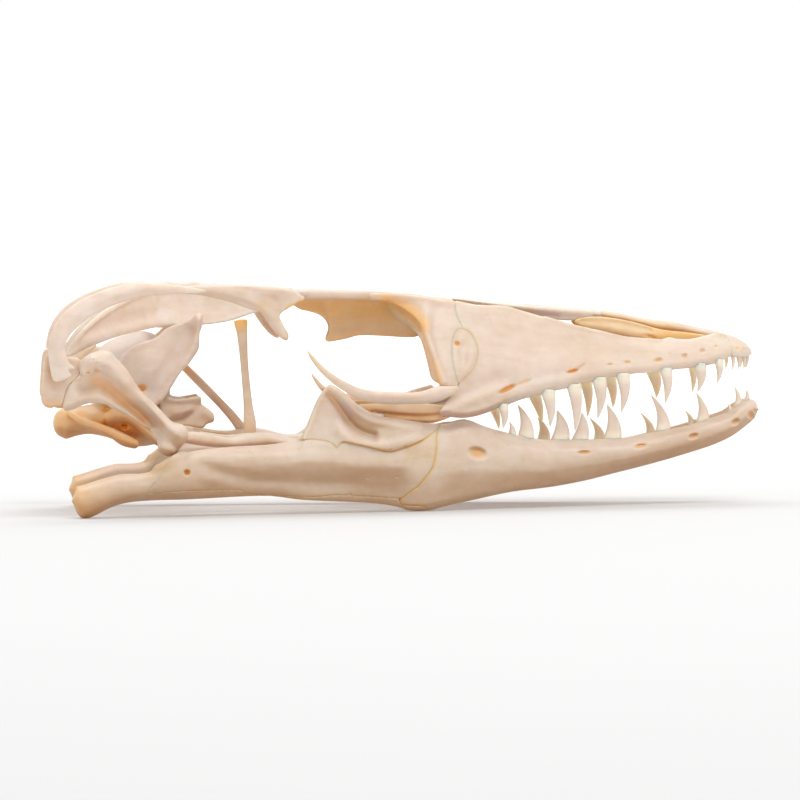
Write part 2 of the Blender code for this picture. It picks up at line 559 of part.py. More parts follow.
JAW_THICK = [(72, 3.4), (80, 5.2), (92, 5.8), (110, 5.2), (134, 4.8), (165, 5.8), (185, 6.2), (210, 5.4), (250, 4.8),
             (300, 5.0), (340, 5.2), (380, 5.6), (420, 6.0), (512, 5.4), (560, 5.2), (620, 5.0), (670, 4.8),
             (710, 4.6), (735, 4.3), (750, 3.8), (757, 2.8)]
JAW_TOP_THICK = [(72, 0.5), (140, 0.5), (165, 0.85), (185, 0.8), (230, 0.45), (300, 0.55), (311, 0.34), (330, 0.2),
                 (345, 0.3), (370, 0.5), (440, 0.62), (757, 0.7)]
JAW_STATIONS = [72.8, 79, 93, 106, 122, 142, 159, 170, 184, 225, 268, 300, 311.5, 324.7, 330.4, 336.7, 346, 358,
                376, 404, 430, 446, 464.6, 484, 512, 573, 630, 687, 718, 737, 750, 757.5]


def jaw_body(name):
    rows = []
    for u in JAW_STATIONS:
        top, low = lerp(JAW_TOP, u), lerp(JAW_LOW, u)
        c, t, tt = lerp(JAW_MID_W, u), lerp(JAW_THICK, u) / 2, lerp(JAW_TOP_THICK, u)
        h = low - top
        # under the coronoid peak the thick part of the jaw keeps its own height
        shoulder = max(0.14 * h, lerp([(300, 0), (311, 26), (330, 50), (356, 26), (380, 10), (420, 0)], u)
                       if 300 < u < 420 else 0.0)
        prof = [(0.0, tt), (shoulder / h, max(tt, 0.82)), (0.55, 1.0), (0.84, 0.86), (1.0, 0.5)]
        row = [(u, top + h * s, c + t * k) for s, k in prof]
        row += [(u, top + h * s, c - t * k) for s, k in prof[::-1]]
        rows.append(row)
    return hoops(name, rows)


def prism(name, outline, w0, w1):
    """Side-view outline carried from w0 to w1."""
    return loft(name, [[at(u, v, w0) for u, v in outline], [at(u, v, w1) for u, v in outline]])


SUTURE = [(440.6, 423.0), (436.6, 434.3), (436.2, 450), (432, 467.6), (422, 482), (403.3, 497.6)]
ANGULAR_TOP = [(160, 493.6), (176, 491.4), (236.6, 490.4), (313.8, 496.0), (357, 495.4), (397, 498.2)]
CORONOID_LOW = [(296, 441.5), (319.5, 440), (336.7, 447), (355, 443.5), (369, 447), (392, 451.5), (415, 443.5),
                (434.6, 431.5)]
ARTICULAR_EDGE = [(172, 452), (166, 466), (157, 478), (150, 486), (147, 491)]
G = 1.0   # half a suture gap in side-view units


def shift(line, du, dv):
    return [(u + du, v + dv) for u, v in line]


REGIONS = {
    "dentary": shift(SUTURE, G, G * 0.7) + [(400, 497.8 + 2 * G), (400, 503.5), (421, 503.5), (425.5, 507), (427, 530),
                                            (780, 530), (780, 380), (443, 380)],
    "surangular": shift(SUTURE[::-1], -G, -G * 0.7) + [(434, 433.5)] + shift(CORONOID_LOW[::-1], 0, 2 * G)[1:]
    + [(292, 430), (180, 430), (172 + G, 452)] + shift(ARTICULAR_EDGE, G, 0)[1:] + shift(ANGULAR_TOP, 0, -G),
    "coronoid": shift(CORONOID_LOW, 0, 0) + [(437.5, 424.0), (438.5, 375), (296, 375)],
    "angular": shift(ANGULAR_TOP, 0, G) + [(398, 505.2), (419.5, 505.2), (423.5, 508.5), (424.5, 530), (150, 530),
                                           (149, 494.0)],
    "articular": shift(ARTICULAR_EDGE, -G, -G * 0.5) + [(145, 530), (60, 530), (60, 440), (171, 440)],
}

TEETH_LOW_R = [(508, 515.7, 433.5, (509.3, 421.6)), (518, 533.5, 435.6, (517.6, 404.4)),
               (551, 569, 438.8, (557, 410)), (572, 588, 438.8, (582, 412.7)), (604, 621, 436.6, (607, 404.5)),
               (656, 670, 429, (650.5, 394.5)), (696.6, 709, 420, (696.3, 392.6)),
               (728, 733, 411, (726.8, 403)), (734.5, 741.5, 403.5, (734.4, 385.8)),
               (744, 749.5, 400, (746.2, 388.8))]
TEETH_LOW_L = [(537, 550, 438.8, (538, 417)), (593.5, 605, 438.8, (589.6, 417.8)),
               (645.7, 655, 432.6, (640, 412.3)), (687.5, 695, 424, (684.6, 410))]


def splenial_zone(name, grow):
    """The strip under the dentary and the plate on its inner face."""
    rows = []
    for u, vi, vs in ((438.8 - grow, 462, 502.8), (452, 460, 500.8), (484, 458, 495), (509, 458, 491),
                      (553, 461, 488.0), (590 + grow, 466, 484.0)):
        c = lerp(JAW_MID_W, u) - 0.35 * lerp(JAW_THICK, u) + grow * 0.12
        top, strip = vi - grow, vs - grow
        if u > 540:
            strip = 560.0 if u > 560 else 489.5 - grow
            strip = min(strip, 492.0)
        side = c + 0.35 * lerp(JAW_THICK, u)
        rows.append([(u, top, c - 9), (u, top, c), (u, strip - 9, c), (u, strip, side), (u, strip, c + 9),
                     (u, 530, c + 9), (u, 530, c - 9)])
    return hoops(name, rows)


def flatten_rest(ob):
    """A flat foot where the bone stands on the ground."""
    bm = bmesh.new()
    bm.from_mesh(ob.data)
    geom = bm.verts[:] + bm.edges[:] + bm.faces[:]
    res = bmesh.ops.bisect_plane(bm, geom=geom, plane_co=(0, 0, 0), plane_no=(0, 0, 1), clear_inner=True)
    edges = [e for e in bm.edges if e.is_boundary]
    if edges:
        bmesh.ops.holes_fill(bm, edges=edges, sides=0)
        bmesh.ops.triangulate(bm, faces=bm.faces[:])
    bmesh.ops.recalc_face_normals(bm, faces=bm.faces[:])
    bm.to_mesh(ob.data)
    bm.free()


def smooth(a, b, x):
    t = min(max((x - a) / (b - a), 0.0), 1.0)
    return t * t * (3 - 2 * t)


def warp_left(ob):
    """The left branch hangs a little lower and its coronoid peak leans forward."""
    for v in ob.data.vertices:
        u, z = MID_U + v.co.x / UNIT, v.co.z
        low = LEFT_LOW * z * smooth(180, 260, u) * (1 - smooth(445, 520, u))
        sag = LEFT_SAG * smooth(445, 510, u) * (1 - smooth(610, 735, u))
        lean = LEFT_LEAN * smooth(0.0136, 0.0170, z) * smooth(270, 300, u) * (1 - smooth(345, 420, u))
        v.co.x += lean
        v.co.z -= low + sag


def warp_orbit(ob):
    """The strut in front of the left orbit is a little narrower."""
    for v in ob.data.vertices:
        u, z = MID_U + v.co.x / UNIT, v.co.z
        v.co.x += LEFT_ORBIT * (1 - smooth(0.0325, 0.0365, z)) * (1 - smooth(432, 448.5, u))


def lower_jaw():
    jaw = jaw_body("jaw")
    made = {}
    for part_name, outline in REGIONS.items():
        ob = copy_of(jaw, part_name)
        zone = prism("zone", outline, 10.0 if part_name != "dentary" else 0.35, 40.0)
        apply_boolean(ob, zone, 'INTERSECT')
        drop(zone)
        made[part_name] = ob
    spl = copy_of(jaw, "splenial")
    for kind, grow, target in (('INTERSECT', 0.0, spl), ('DIFFERENCE', 1.9, made["dentary"])):
        zone = splenial_zone("zone", grow)
        apply_boolean(target, zone, kind)
        drop(zone)
    made["splenial"] = spl
    drop(jaw)
    for ob in (made["angular"], made["articular"], made["dentary"], made["splenial"]):
        flatten_rest(ob)
    left = {k: mirror_of(o, k + "_l") for k, o in made.items()}
    for k in left:
        warp_left(left[k])
    for side, table, rows in ((1, made, TEETH_LOW_R), (-1, left, TEETH_LOW_L)):
        parts = [table["dentary"]]
        for a, b, vb, tip in rows:
            w = (lerp(JAW_MID_W, (a + b) / 2) - 0.7) * side
            parts.append(tooth(a, b, vb, tip, w, 0.8, 1))
        union("dentary" + ("_r" if side == 1 else "_l"), parts)
    for k, o in made.items():
        o.name = k + "_r"
    for k, o in left.items():
        o.name = k + "_l"
    return list(made.values()) + list(left.values())


keep(lower_jaw())
for _b in BONES:
    if _b.name == "prefrontal_l":
        warp_orbit(_b)

# ---------------------------------------------------------------- materials
TINT = {"premaxilla": 0.00, "maxilla": 0.00, "nasal": 0.01, "frontal": 0.0, "prefrontal": 0.01}


def finish_bone(ob):
    ob.data.materials.clear()
    mat = bpy.data.materials.new("bone_" + ob.name)
    mat.use_nodes = True
    bsdf = mat.node_tree.nodes.get("Principled BSDF")
    k = TINT.get(ob.name.rsplit("_", 1)[0], 0.005)
    bsdf.inputs["Base Color"].default_value = (0.80 - k, 0.70 - k, 0.56 - 2 * k, 1.0)
    bsdf.inputs["Roughness"].default_value = 0.5
    mat.diffuse_color = (0.80 - k, 0.70 - k, 0.56 - 2 * k, 1.0)
    ob.data.materials.append(mat)
    bm = bmesh.new()
    bm.from_mesh(ob.data)
    bmesh.ops.remove_doubles(bm, verts=bm.verts[:], dist=0.000002)
    bmesh.ops.dissolve_degenerate(bm, edges=bm.edges[:], dist=0.000002)
    if len(bm.faces) > 250:
        bmesh.ops.dissolve_limit(bm, angle_limit=math.radians(3.0), verts=bm.verts[:], edges=bm.edges[:])
    bmesh.ops.triangulate(bm, faces=bm.faces[:])
    bm.to_mesh(ob.data)
    bm.free()
    for p in ob.data.polygons:
        p.use_smooth = False


for _b in BONES:
    finish_bone(_b)
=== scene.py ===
import math
import bpy
import bmesh
import numpy as np
from mathutils import Matrix, Vector


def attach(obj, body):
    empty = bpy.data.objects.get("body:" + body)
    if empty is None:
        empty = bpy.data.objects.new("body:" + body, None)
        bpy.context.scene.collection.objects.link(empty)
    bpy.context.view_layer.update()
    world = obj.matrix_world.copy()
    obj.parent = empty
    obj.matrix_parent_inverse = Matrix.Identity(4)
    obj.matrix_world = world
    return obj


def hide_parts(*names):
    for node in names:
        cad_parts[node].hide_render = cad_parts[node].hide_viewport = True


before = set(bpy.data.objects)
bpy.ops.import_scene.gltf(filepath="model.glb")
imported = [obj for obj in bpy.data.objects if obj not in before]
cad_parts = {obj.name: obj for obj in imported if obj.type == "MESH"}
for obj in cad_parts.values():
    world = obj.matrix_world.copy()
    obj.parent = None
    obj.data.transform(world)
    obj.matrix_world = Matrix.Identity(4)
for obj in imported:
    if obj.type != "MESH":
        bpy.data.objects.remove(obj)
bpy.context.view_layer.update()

# ------------------------------------------------------------------ side view to space
MM = 0.001
UNIT = 0.0002
FOCUS = 5300.0
VIEW_YAW, VIEW_TILT, VIEW_ROLL = math.radians(4.2), math.radians(1.6), math.radians(0.72)
MID_U, MID_V, MID_HEIGHT = 400.0, 400.0, 0.02120
LEFT_SAG, LEFT_LOW, LEFT_LEAN, LEFT_ORBIT = 0.0010, 0.085, 0.0028, 0.0019
_cy, _sy, _ct, _st = math.cos(VIEW_YAW), math.sin(VIEW_YAW), math.cos(VIEW_TILT), math.sin(VIEW_TILT)
FWD = np.array([_sy * _ct, _cy * _ct, -_st])
_r0 = np.array([_cy, -_sy, 0.0])
_u0 = np.cross(_r0, FWD)
RIGHT = _r0 * math.cos(VIEW_ROLL) - _u0 * math.sin(VIEW_ROLL)
UP = _u0 * math.cos(VIEW_ROLL) + _r0 * math.sin(VIEW_ROLL)
EYE = np.array([0.0, 0.0, MID_HEIGHT]) - FWD * (FOCUS * UNIT)


def to_world(u, v, w):
    """Arrays of side-view units and millimetres to metres."""
    u, v, w = np.asarray(u, float), np.asarray(v, float), np.asarray(w, float)
    ray = FWD + RIGHT * ((u - MID_U) / FOCUS)[..., None] - UP * ((v - MID_V) / FOCUS)[..., None]
    k = (-w * MM - EYE[1]) / ray[..., 1]
    return EYE + ray * k[..., None]


# ------------------------------------------------------------------ small maths
def curve(table, x):
    """Smooth value of a table of (x, value) rows at the array x."""
    table = sorted(table)
    xs = np.array([r[0] for r in table], float)
    ys = np.array([r[1] for r in table], float)
    if len(xs) < 3:
        return np.interp(x, xs, ys)
    d = np.diff(ys) / np.diff(xs)
    m = np.empty_like(ys)
    m[0], m[-1] = d[0], d[-1]
    for i in range(1, len(xs) - 1):
        if d[i - 1] * d[i] <= 0:
            m[i] = 0.0
        else:
            w1 = 2 * (xs[i + 1] - xs[i]) + (xs[i] - xs[i - 1])
            w2 = (xs[i + 1] - xs[i]) + 2 * (xs[i] - xs[i - 1])
            m[i] = (w1 + w2) / (w1 / d[i - 1] + w2 / d[i])
    x = np.clip(np.asarray(x, float), xs[0], xs[-1])
    i = np.clip(np.searchsorted(xs, x) - 1, 0, len(xs) - 2)
    h = xs[i + 1] - xs[i]
    t = (x - xs[i]) / h
    return (ys[i] * (1 + 2 * t) * (1 - t) ** 2 + m[i] * h * t * (1 - t) ** 2
            + ys[i + 1] * t * t * (3 - 2 * t) + m[i + 1] * h * t * t * (t - 1))


def spline(points, sub=4, closed=False):
    """Catmull-Rom points through rows of numbers."""
    p = np.array(points, float)
    n = len(p)
    out = []
    for i in range(n if closed else n - 1):
        a = p[(i - 1) % n] if (closed or i > 0) else p[0]
        b, c = p[i], p[(i + 1) % n]
        d = p[(i + 2) % n] if (closed or i < n - 2) else p[-1]
        for k in range(sub):
            t = k / sub
            out.append(0.5 * (2 * b + (c - a) * t + (2 * a - 5 * b + 4 * c - d) * t * t
                              + (3 * b - a - 3 * c + d) * t ** 3))
    if not closed:
        out.append(p[-1])
    return np.array(out)


def sstep(a, b, x):
    t = np.clip((x - a) / (b - a), 0.0, 1.0)
    return t * t * (3 - 2 * t)


def smin(a, b, k):
    h = np.clip(0.5 + 0.5 * (b - a) / k, 0, 1)
    return b * (1 - h) + a * h - k * h * (1 - h)


def smax(a, b, k):
    return -smin(-a, -b, k)


def wobble(u, v, scale, seed):
    """Smooth unevenness made of a few crossed waves."""
    rng = np.random.RandomState(seed)
    out = 0.0
    for i in range(7):
        ang, ph = rng.uniform(0, 2 * math.pi, 2)
        f = rng.uniform(0.6, 1.6) / scale
        out = out + np.sin((u * math.cos(ang) + v * math.sin(ang)) * f * 2 * math.pi + ph)
    return out / 7.0


# ------------------------------------------------------------------ distance fields
class Field:
    """A block of space in side-view millimetres: U forward, V down, W to the right."""

    def __init__(self, u0, u1, v0, v1, w0, w1, h=0.24):
        self.h = h
        self.U = np.arange(u0 * 0.2 - 2 * h, u1 * 0.2 + 3 * h, h, dtype=np.float32)
        self.V = np.arange(v0 * 0.2 - 2 * h, v1 * 0.2 + 3 * h, h, dtype=np.float32)
        self.W = np.arange(w0 - 2 * h, w1 + 3 * h, h, dtype=np.float32)
        self.shape = (len(self.U), len(self.V), len(self.W))
        self.u = (self.U / 0.2)[:, None] * np.ones((1, len(self.V)), np.float32)
        self.v = (self.V / 0.2)[None, :] * np.ones((len(self.U), 1), np.float32)
        self.Z = self.W[None, None, :]

    def empty(self):
        return np.full(self.shape, 4.0, np.float32)

    def tube(self, stations, sub=4, into=None):
        """Rod of changing oval section; stations are (u, v, w, a, b)."""
        st = spline(stations, sub)
        st[:, 3:] = np.maximum(st[:, 3:], 0.05)
        out = self.empty() if into is None else into
        for s0, s1 in zip(st[:-1], st[1:]):
            c0 = np.array([s0[0] * 0.2, s0[1] * 0.2, s0[2]])
            c1 = np.array([s1[0] * 0.2, s1[1] * 0.2, s1[2]])
            d = c1 - c0
            L = np.linalg.norm(d)
            if L < 1e-6:
                continue
            t_ = d / L
            lat = np.array([0, 0, 1.0]) - t_ * t_[2]
            if np.linalg.norm(lat) < 0.2:
                lat = np.array([0, 1.0, 0]) - t_ * t_[1]
            lat /= np.linalg.norm(lat)
            nrm = np.cross(lat, t_)
            m = max(s0[3], s1[3], s0[4], s1[4]) + 1.3
            lo, hi = np.minimum(c0, c1) - m, np.maximum(c0, c1) + m
            i0, i1 = np.searchsorted(self.U, [lo[0], hi[0]])
            j0, j1 = np.searchsorted(self.V, [lo[1], hi[1]])
            k0, k1 = np.searchsorted(self.W, [lo[2], hi[2]])
            if i0 >= i1 or j0 >= j1 or k0 >= k1:
                continue
            X = self.U[i0:i1, None, None] - c0[0]
            Y = self.V[None, j0:j1, None] - c0[1]
            Z = self.W[None, None, k0:k1] - c0[2]
            al = X * t_[0] + Y * t_[1] + Z * t_[2]
            t = np.clip(al / L, 0, 1)
            a = s0[3] + (s1[3] - s0[3]) * t
            b = s0[4] + (s1[4] - s0[4]) * t
            over = al - t * L
            pn = X * nrm[0] + Y * nrm[1] + Z * nrm[2]
            pl = X * lat[0] + Y * lat[1] + Z * lat[2]
            e = np.minimum(a, b)
            k_0 = np.sqrt((pn / a) ** 2 + (pl / b) ** 2 + (over / e) ** 2)
            k_1 = np.sqrt((pn / a ** 2) ** 2 + (pl / b ** 2) ** 2 + (over / e ** 2) ** 2) + 1e-6
            dist = k_0 * (k_0 - 1.0) / k_1
            blk = out[i0:i1, j0:j1, k0:k1]
            np.minimum(blk, dist, out=blk)
        return out

    def blob(self, u, v, w, ru, rv, rw, ang=0.0):
        """Ellipsoid with radii in millimetres, turned by ang degrees in the side view."""
        X, Y, Z = self.U[:, None, None] - u * 0.2, self.V[None, :, None] - v * 0.2, self.Z - w
        c, s = math.cos(math.radians(ang)), math.sin(math.radians(ang))
        A, B = X * c + Y * s, -X * s + Y * c
        k0 = np.sqrt((A / ru) ** 2 + (B / rv) ** 2 + (Z / rw) ** 2)
        k1 = np.sqrt((A / ru ** 2) ** 2 + (B / rv ** 2) ** 2 + (Z / rw ** 2) ** 2) + 1e-6
        return (k0 * (k0 - 1.0) / k1).astype(np.float32)

    def outline(self, pts, sub=3):
        """Signed distance to a closed outline, millimetres, negative inside."""
        p = spline(pts, sub, True) * 0.2 if sub > 1 else np.array(pts, float) * 0.2
        return poly_distance(self.u * 0.2, self.v * 0.2, p)

    def relief(self, pts, outer, thick, r=0.5, sub=3):
        """Slab whose outer face is the height map outer (w in mm) inside an outline."""
        d2 = self.outline(pts, sub) if not isinstance(pts, np.ndarray) else pts
        outer = outer + 0.0 * self.u
        thick = thick + 0.0 * self.u
        gu, gv = np.gradient(outer, self.h)
        nf = 1.0 / np.sqrt(1 + np.clip(gu ** 2 + gv ** 2, 0, 6))
        mid = (outer - thick / 2)[..., None]
        dw = (np.abs(self.Z - mid) - (thick / 2)[..., None]) * nf[..., None]
        rr = np.minimum(r, thick * 0.47)[..., None]
        a = d2[..., None] + rr
        b = dw + rr
        return (np.minimum(np.maximum(a, b), 0) + np.hypot(np.maximum(a, 0), np.maximum(b, 0)) - rr).astype(np.float32)

    def roof(self, pts_uw, top, thick, r=0.5, sub=3):
        """Slab whose upper face is the map top (v units over u and w) inside an outline in u, w."""
        uu = self.U[:, None] * np.ones((1, len(self.W)))
        ww = self.W[None, :] * np.ones((len(self.U), 1))
        p = spline([(a * 0.2, b) for a, b in pts_uw], sub, True)
        d2 = poly_distance(uu, ww, p)
        t = top(uu / 0.2, ww) * 0.2
        gu, gw = np.gradient(t, self.h)
        nf = 1.0 / np.sqrt(1 + np.clip(gu ** 2 + gw ** 2, 0, 6))
        mid = (t + thick / 2)[:, None, :]
        dv = (np.abs(self.V[None, :, None] - mid) - thick / 2) * nf[:, None, :]
        a = d2[:, None, :] + r
        b = dv + r
        return (np.minimum(np.maximum(a, b), 0) + np.hypot(np.maximum(a, 0), np.maximum(b, 0)) - r).astype(np.float32)

    def line(self, pts, sub=4):
        """Distance in millimetres from a side-view line."""
        p = spline(pts, sub) * 0.2
        x, y = self.u * 0.2, self.v * 0.2
        best = np.full(x.shape, 1e9)
        for (ax, ay), (bx, by) in zip(p[:-1], p[1:]):
            ex, ey = bx - ax, by - ay
            L = ex * ex + ey * ey + 1e-12
            t = np.clip(((x - ax) * ex + (y - ay) * ey) / L, 0, 1)
            best = np.minimum(best, (x - ax - t * ex) ** 2 + (y - ay - t * ey) ** 2)
        return np.sqrt(best)

    def ridge(self, pts, width, height):
        return height * np.exp(-(self.line(pts) / width) ** 2)

    def spot(self, u, v, ru, rv, ang=0.0, power=4):
        """1 inside an oval of radii in side-view units, falling to 0 outside."""
        c, s = math.cos(math.radians(ang)), math.sin(math.radians(ang))
        x, y = self.u - u, self.v - v
        q = ((x * c + y * s) / ru) ** 2 + ((-x * s + y * c) / rv) ** 2
        return np.exp(-q ** (power / 2))


def poly_distance(x, y, p):
    best = np.full(x.shape, 1e9)
    inside = np.zeros(x.shape, bool)
    n = len(p)
    for i in range(n):
        ax, ay = p[i]
        bx, by = p[(i + 1) % n]
        ex, ey = bx - ax, by - ay
        L = ex * ex + ey * ey + 1e-12
        t = np.clip(((x - ax) * ex + (y - ay) * ey) / L, 0, 1)
        best = np.minimum(best, (x - ax - t * ex) ** 2 + (y - ay - t * ey) ** 2)
        cond = (ay > y) != (by > y)
        if ay != by:
            inside ^= cond & (x < (bx - ax) * (y - ay) / (by - ay) + ax)
    d = np.sqrt(best)
    return np.where(inside, -d, d)


def surface(F, field):
    """Closed surface of the zero level: vertices in field coordinates and quads."""
    nx, ny, nz = F.shape
    f = F.copy()
    f[0], f[-1], f[:, 0], f[:, -1], f[:, :, 0], f[:, :, -1] = 1, 1, 1, 1, 1, 1
    f[f == 0] = 1e-6
    s = f < 0
    # samples that touch only across the corner of a grid face are joined
    for _ in range(8):
        found = 0
        for ax in ((0, 1), (0, 2), (1, 2)):
            def corner(p, q):
                sl = [slice(None)] * 3
                sl[ax[0]] = slice(p, F.shape[ax[0]] - 1 + p)
                sl[ax[1]] = slice(q, F.shape[ax[1]] - 1 + q)
                return tuple(sl)
            c00, c10, c01, c11 = s[corner(0, 0)], s[corner(1, 0)], s[corner(0, 1)], s[corner(1, 1)]
            i = np.argwhere((c00 == c11) & (c10 == c01) & (c00 != c10))
            if not len(i):
                continue
            found += len(i)
            e0, e1 = np.zeros(3, int), np.zeros(3, int)
            e0[ax[0]], e1[ax[1]] = 1, 1
            k = np.arange(len(i))
            four = np.stack([i, i + e0, i + e1, i + e0 + e1], 1)
            val = f[four[..., 0], four[..., 1], four[..., 2]]
            val = np.where(val < 0, 9e9, val)
            pick = four[k, val.argmin(1)]
            f[tuple(pick.T)] = -0.2 * field.h
            s[tuple(pick.T)] = True
        if not found:
            break
    ins = np.zeros((nx - 1, ny - 1, nz - 1), np.uint8)
    for a in (0, 1):
        for b in (0, 1):
            for c in (0, 1):
                ins += s[a:nx - 1 + a, b:ny - 1 + b, c:nz - 1 + c]
    cells = np.argwhere((ins > 0) & (ins < 8))
    index = np.full((nx - 1, ny - 1, nz - 1), -1, np.int32)
    index[cells[:, 0], cells[:, 1], cells[:, 2]] = np.arange(len(cells))
    acc = np.zeros((len(cells), 3))
    cnt = np.zeros(len(cells))
    ci, cj, ck = cells.T
    for axis in range(3):
        others = [x for x in range(3) if x != axis]
        for p in (0, 1):
            for q in (0, 1):
                o0 = [0, 0, 0]
                o0[others[0]], o0[others[1]] = p, q
                o1 = list(o0)
                o1[axis] = 1
                f0 = f[ci + o0[0], cj + o0[1], ck + o0[2]]
                f1 = f[ci + o1[0], cj + o1[1], ck + o1[2]]
                m = (f0 < 0) != (f1 < 0)
                t = f0[m] / (f0[m] - f1[m])
                pos = np.tile(np.array(o0, float), (m.sum(), 1))
                pos[:, axis] = t
                acc[m] += pos
                cnt[m] += 1
    pts = cells + acc / cnt[:, None]
    verts = np.stack([field.U[0] + pts[:, 0] * field.h, field.V[0] + pts[:, 1] * field.h,
                      field.W[0] + pts[:, 2] * field.h], 1)
    quads = []
    for axis in range(3):
        sl0 = [slice(0, None)] * 3
        sl1 = [slice(0, None)] * 3
        sl0[axis], sl1[axis] = slice(0, -1), slice(1, None)
        e = s[tuple(sl0)] != s[tuple(sl1)]
        i, j, k = np.nonzero(e)
        base = np.stack([i, j, k], 1)
        a1, a2 = [(1, 2), (2, 0), (0, 1)][axis]
        ok = (base[:, a1] > 0) & (base[:, a2] > 0)
        base = base[ok]
        q = []
        for d1, d2 in ((1, 1), (0, 1), (0, 0), (1, 0)):
            c = base.copy()
            c[:, a1] -= d1
            c[:, a2] -= d2
            q.append(index[c[:, 0], c[:, 1], c[:, 2]])
        q = np.stack(q, 1)
        flip = s[tuple(base.T)]
        q[flip] = q[flip][:, ::-1]
        quads.append(q)
    return verts, np.concatenate(quads)


# ------------------------------------------------------------------ materials
def bone_material(name, tooth=False):
    mat = bpy.data.materials.new(name)
    mat.use_nodes = True
    nt = mat.node_tree
    nt.nodes.clear()
    N, L = nt.nodes.new, nt.links.new
    out = N("ShaderNodeOutputMaterial")
    bs = N("ShaderNodeBsdfPrincipled")
    L(bs.outputs[0], out.inputs[0])
    tc = N("ShaderNodeTexCoord")
    att = N("ShaderNodeAttribute")
    att.attribute_name = "warm"

    def noise(scale, detail, rough=0.55):
        n = N("ShaderNodeTexNoise")
        n.inputs["Scale"].default_value = scale
        n.inputs["Detail"].default_value = detail
        n.inputs["Roughness"].default_value = rough
        L(tc.outputs["Object"], n.inputs["Vector"])
        return n.outputs["Fac"]

    def ramp(src, rows):
        r = N("ShaderNodeValToRGB")
        e = r.color_ramp.elements
        e[0].position, e[0].color = rows[0][0], (*rows[0][1], 1)
        e[1].position, e[1].color = rows[-1][0], (*rows[-1][1], 1)
        for pos, col in rows[1:-1]:
            x = e.new(pos)
            x.color = (*col, 1)
        L(src, r.inputs["Fac"])
        return r.outputs["Color"]

    def times(a, b, fac=1.0, kind='MULTIPLY'):
        m = N("ShaderNodeMix")
        m.data_type = 'RGBA'
        m.blend_type = kind
        m.inputs[0].default_value = fac
        L(a, m.inputs[6])
        L(b, m.inputs[7])
        return m.outputs[2]

    if tooth:
        col = ramp(noise(260.0, 3.0), [(0.3, (0.84, 0.70, 0.60)), (0.7, (0.88, 0.765, 0.68))])
        # painted light: teeth on the left side, which sit in shade, are made paler and warmer
        side = N("ShaderNodeSeparateXYZ")
        L(tc.outputs["Object"], side.inputs[0])
        left = N("ShaderNodeMapRange")
        left.inputs[1].default_value, left.inputs[2].default_value = -0.001, 0.001
        L(side.outputs["Y"], left.inputs[0])
        col = times(col, ramp(left.outputs[0], [(0.0, (1.0, 1.0, 1.0)), (1.0, (1.18, 1.13, 1.00))]))
        # whitish enamel streaks at the base of a crown
        col = times(col, ramp(att.outputs["Fac"], [(0.0, (0.95, 0.93, 0.90)), (0.5, (1.0, 0.99, 0.97)), (1.0, (1.22, 1.18, 1.08))]))
    else:
        col = ramp(noise(70.0, 4.0), [(0.30, (0.745, 0.600, 0.495)), (0.52, (0.790, 0.665, 0.580)), (0.74, (0.820, 0.710, 0.640))])
        col = times(col, ramp(noise(420.0, 4.0), [(0.35, (0.955, 0.935, 0.90)), (0.65, (1.0, 1.0, 1.0))]))
        # the warm value tints bone orange: random warmer patches and sutures, and painted shade and glow in hollows,
        # openings, grooves, thin bone and bone that faces down
        col = times(col, ramp(att.outputs["Fac"], [(0.0, (1.0, 1.0, 1.0)), (0.2, (1.01, 0.96, 0.85)), (0.42, (1.09, 0.89, 0.59)),
                                                   (0.68, (1.15, 0.80, 0.36)), (1.0, (1.18, 0.66, 0.13))]))
        # below zero the value stands for painted light: bone made paler where it lies in shade
        painted_lift = N("ShaderNodeMapRange")
        painted_lift.inputs[1].default_value, painted_lift.inputs[2].default_value = -1.0, 0.0
        L(att.outputs["Fac"], painted_lift.inputs[0])
        col = times(col, ramp(painted_lift.outputs[0], [(0.0, (1.25, 1.29, 1.30)), (1.0, (1.0, 1.0, 1.0))]))
        # painted shade: low on the skull, bone that faces down is made darker and redder than bone that faces up
        geo = N("ShaderNodeNewGeometry")
        sepn = N("ShaderNodeSeparateXYZ")
        L(geo.outputs["Normal"], sepn.inputs[0])
        rise = N("ShaderNodeMapRange")
        rise.inputs[1].default_value, rise.inputs[2].default_value = -1.0, 1.0
        L(sepn.outputs["Z"], rise.inputs[0])
        place = N("ShaderNodeSeparateXYZ")
        L(tc.outputs["Object"], place.inputs[0])
        low = N("ShaderNodeMapRange")
        low.inputs[1].default_value, low.inputs[2].default_value = 0.0135, 0.0235
        L(place.outputs["Z"], low.inputs[0])
        no_shade_above = ramp(low.outputs[0], [(0.0, (0.0, 0.0, 0.0)), (1.0, (1.0, 1.0, 1.0))])
        painted_underside_shade = (ramp(rise.outputs[0], [(0.10, (0.66, 0.50, 0.37)), (0.30, (0.775, 0.635, 0.50)), (0.46, (0.965, 0.925, 0.855)),
                                                (0.60, (1.0, 0.985, 0.96)), (0.80, (1.02, 1.02, 1.02))]))
        col = times(col, times(painted_underside_shade, no_shade_above, kind='LIGHTEN'))
        # faint streaks along the bones
        along = N("ShaderNodeVectorMath")
        along.operation = 'MULTIPLY'
        along.inputs[1].default_value = (0.16, 1.0, 1.0)
        L(tc.outputs["Object"], along.inputs[0])
        streak = N("ShaderNodeTexNoise")
        streak.inputs["Scale"].default_value = 520.0
        streak.inputs["Detail"].default_value = 3.0
        L(along.outputs[0], streak.inputs["Vector"])
        col = times(col, ramp(streak.outputs["Fac"], [(0.34, (0.945, 0.925, 0.895)), (0.56, (1.0, 1.0, 1.0))]))
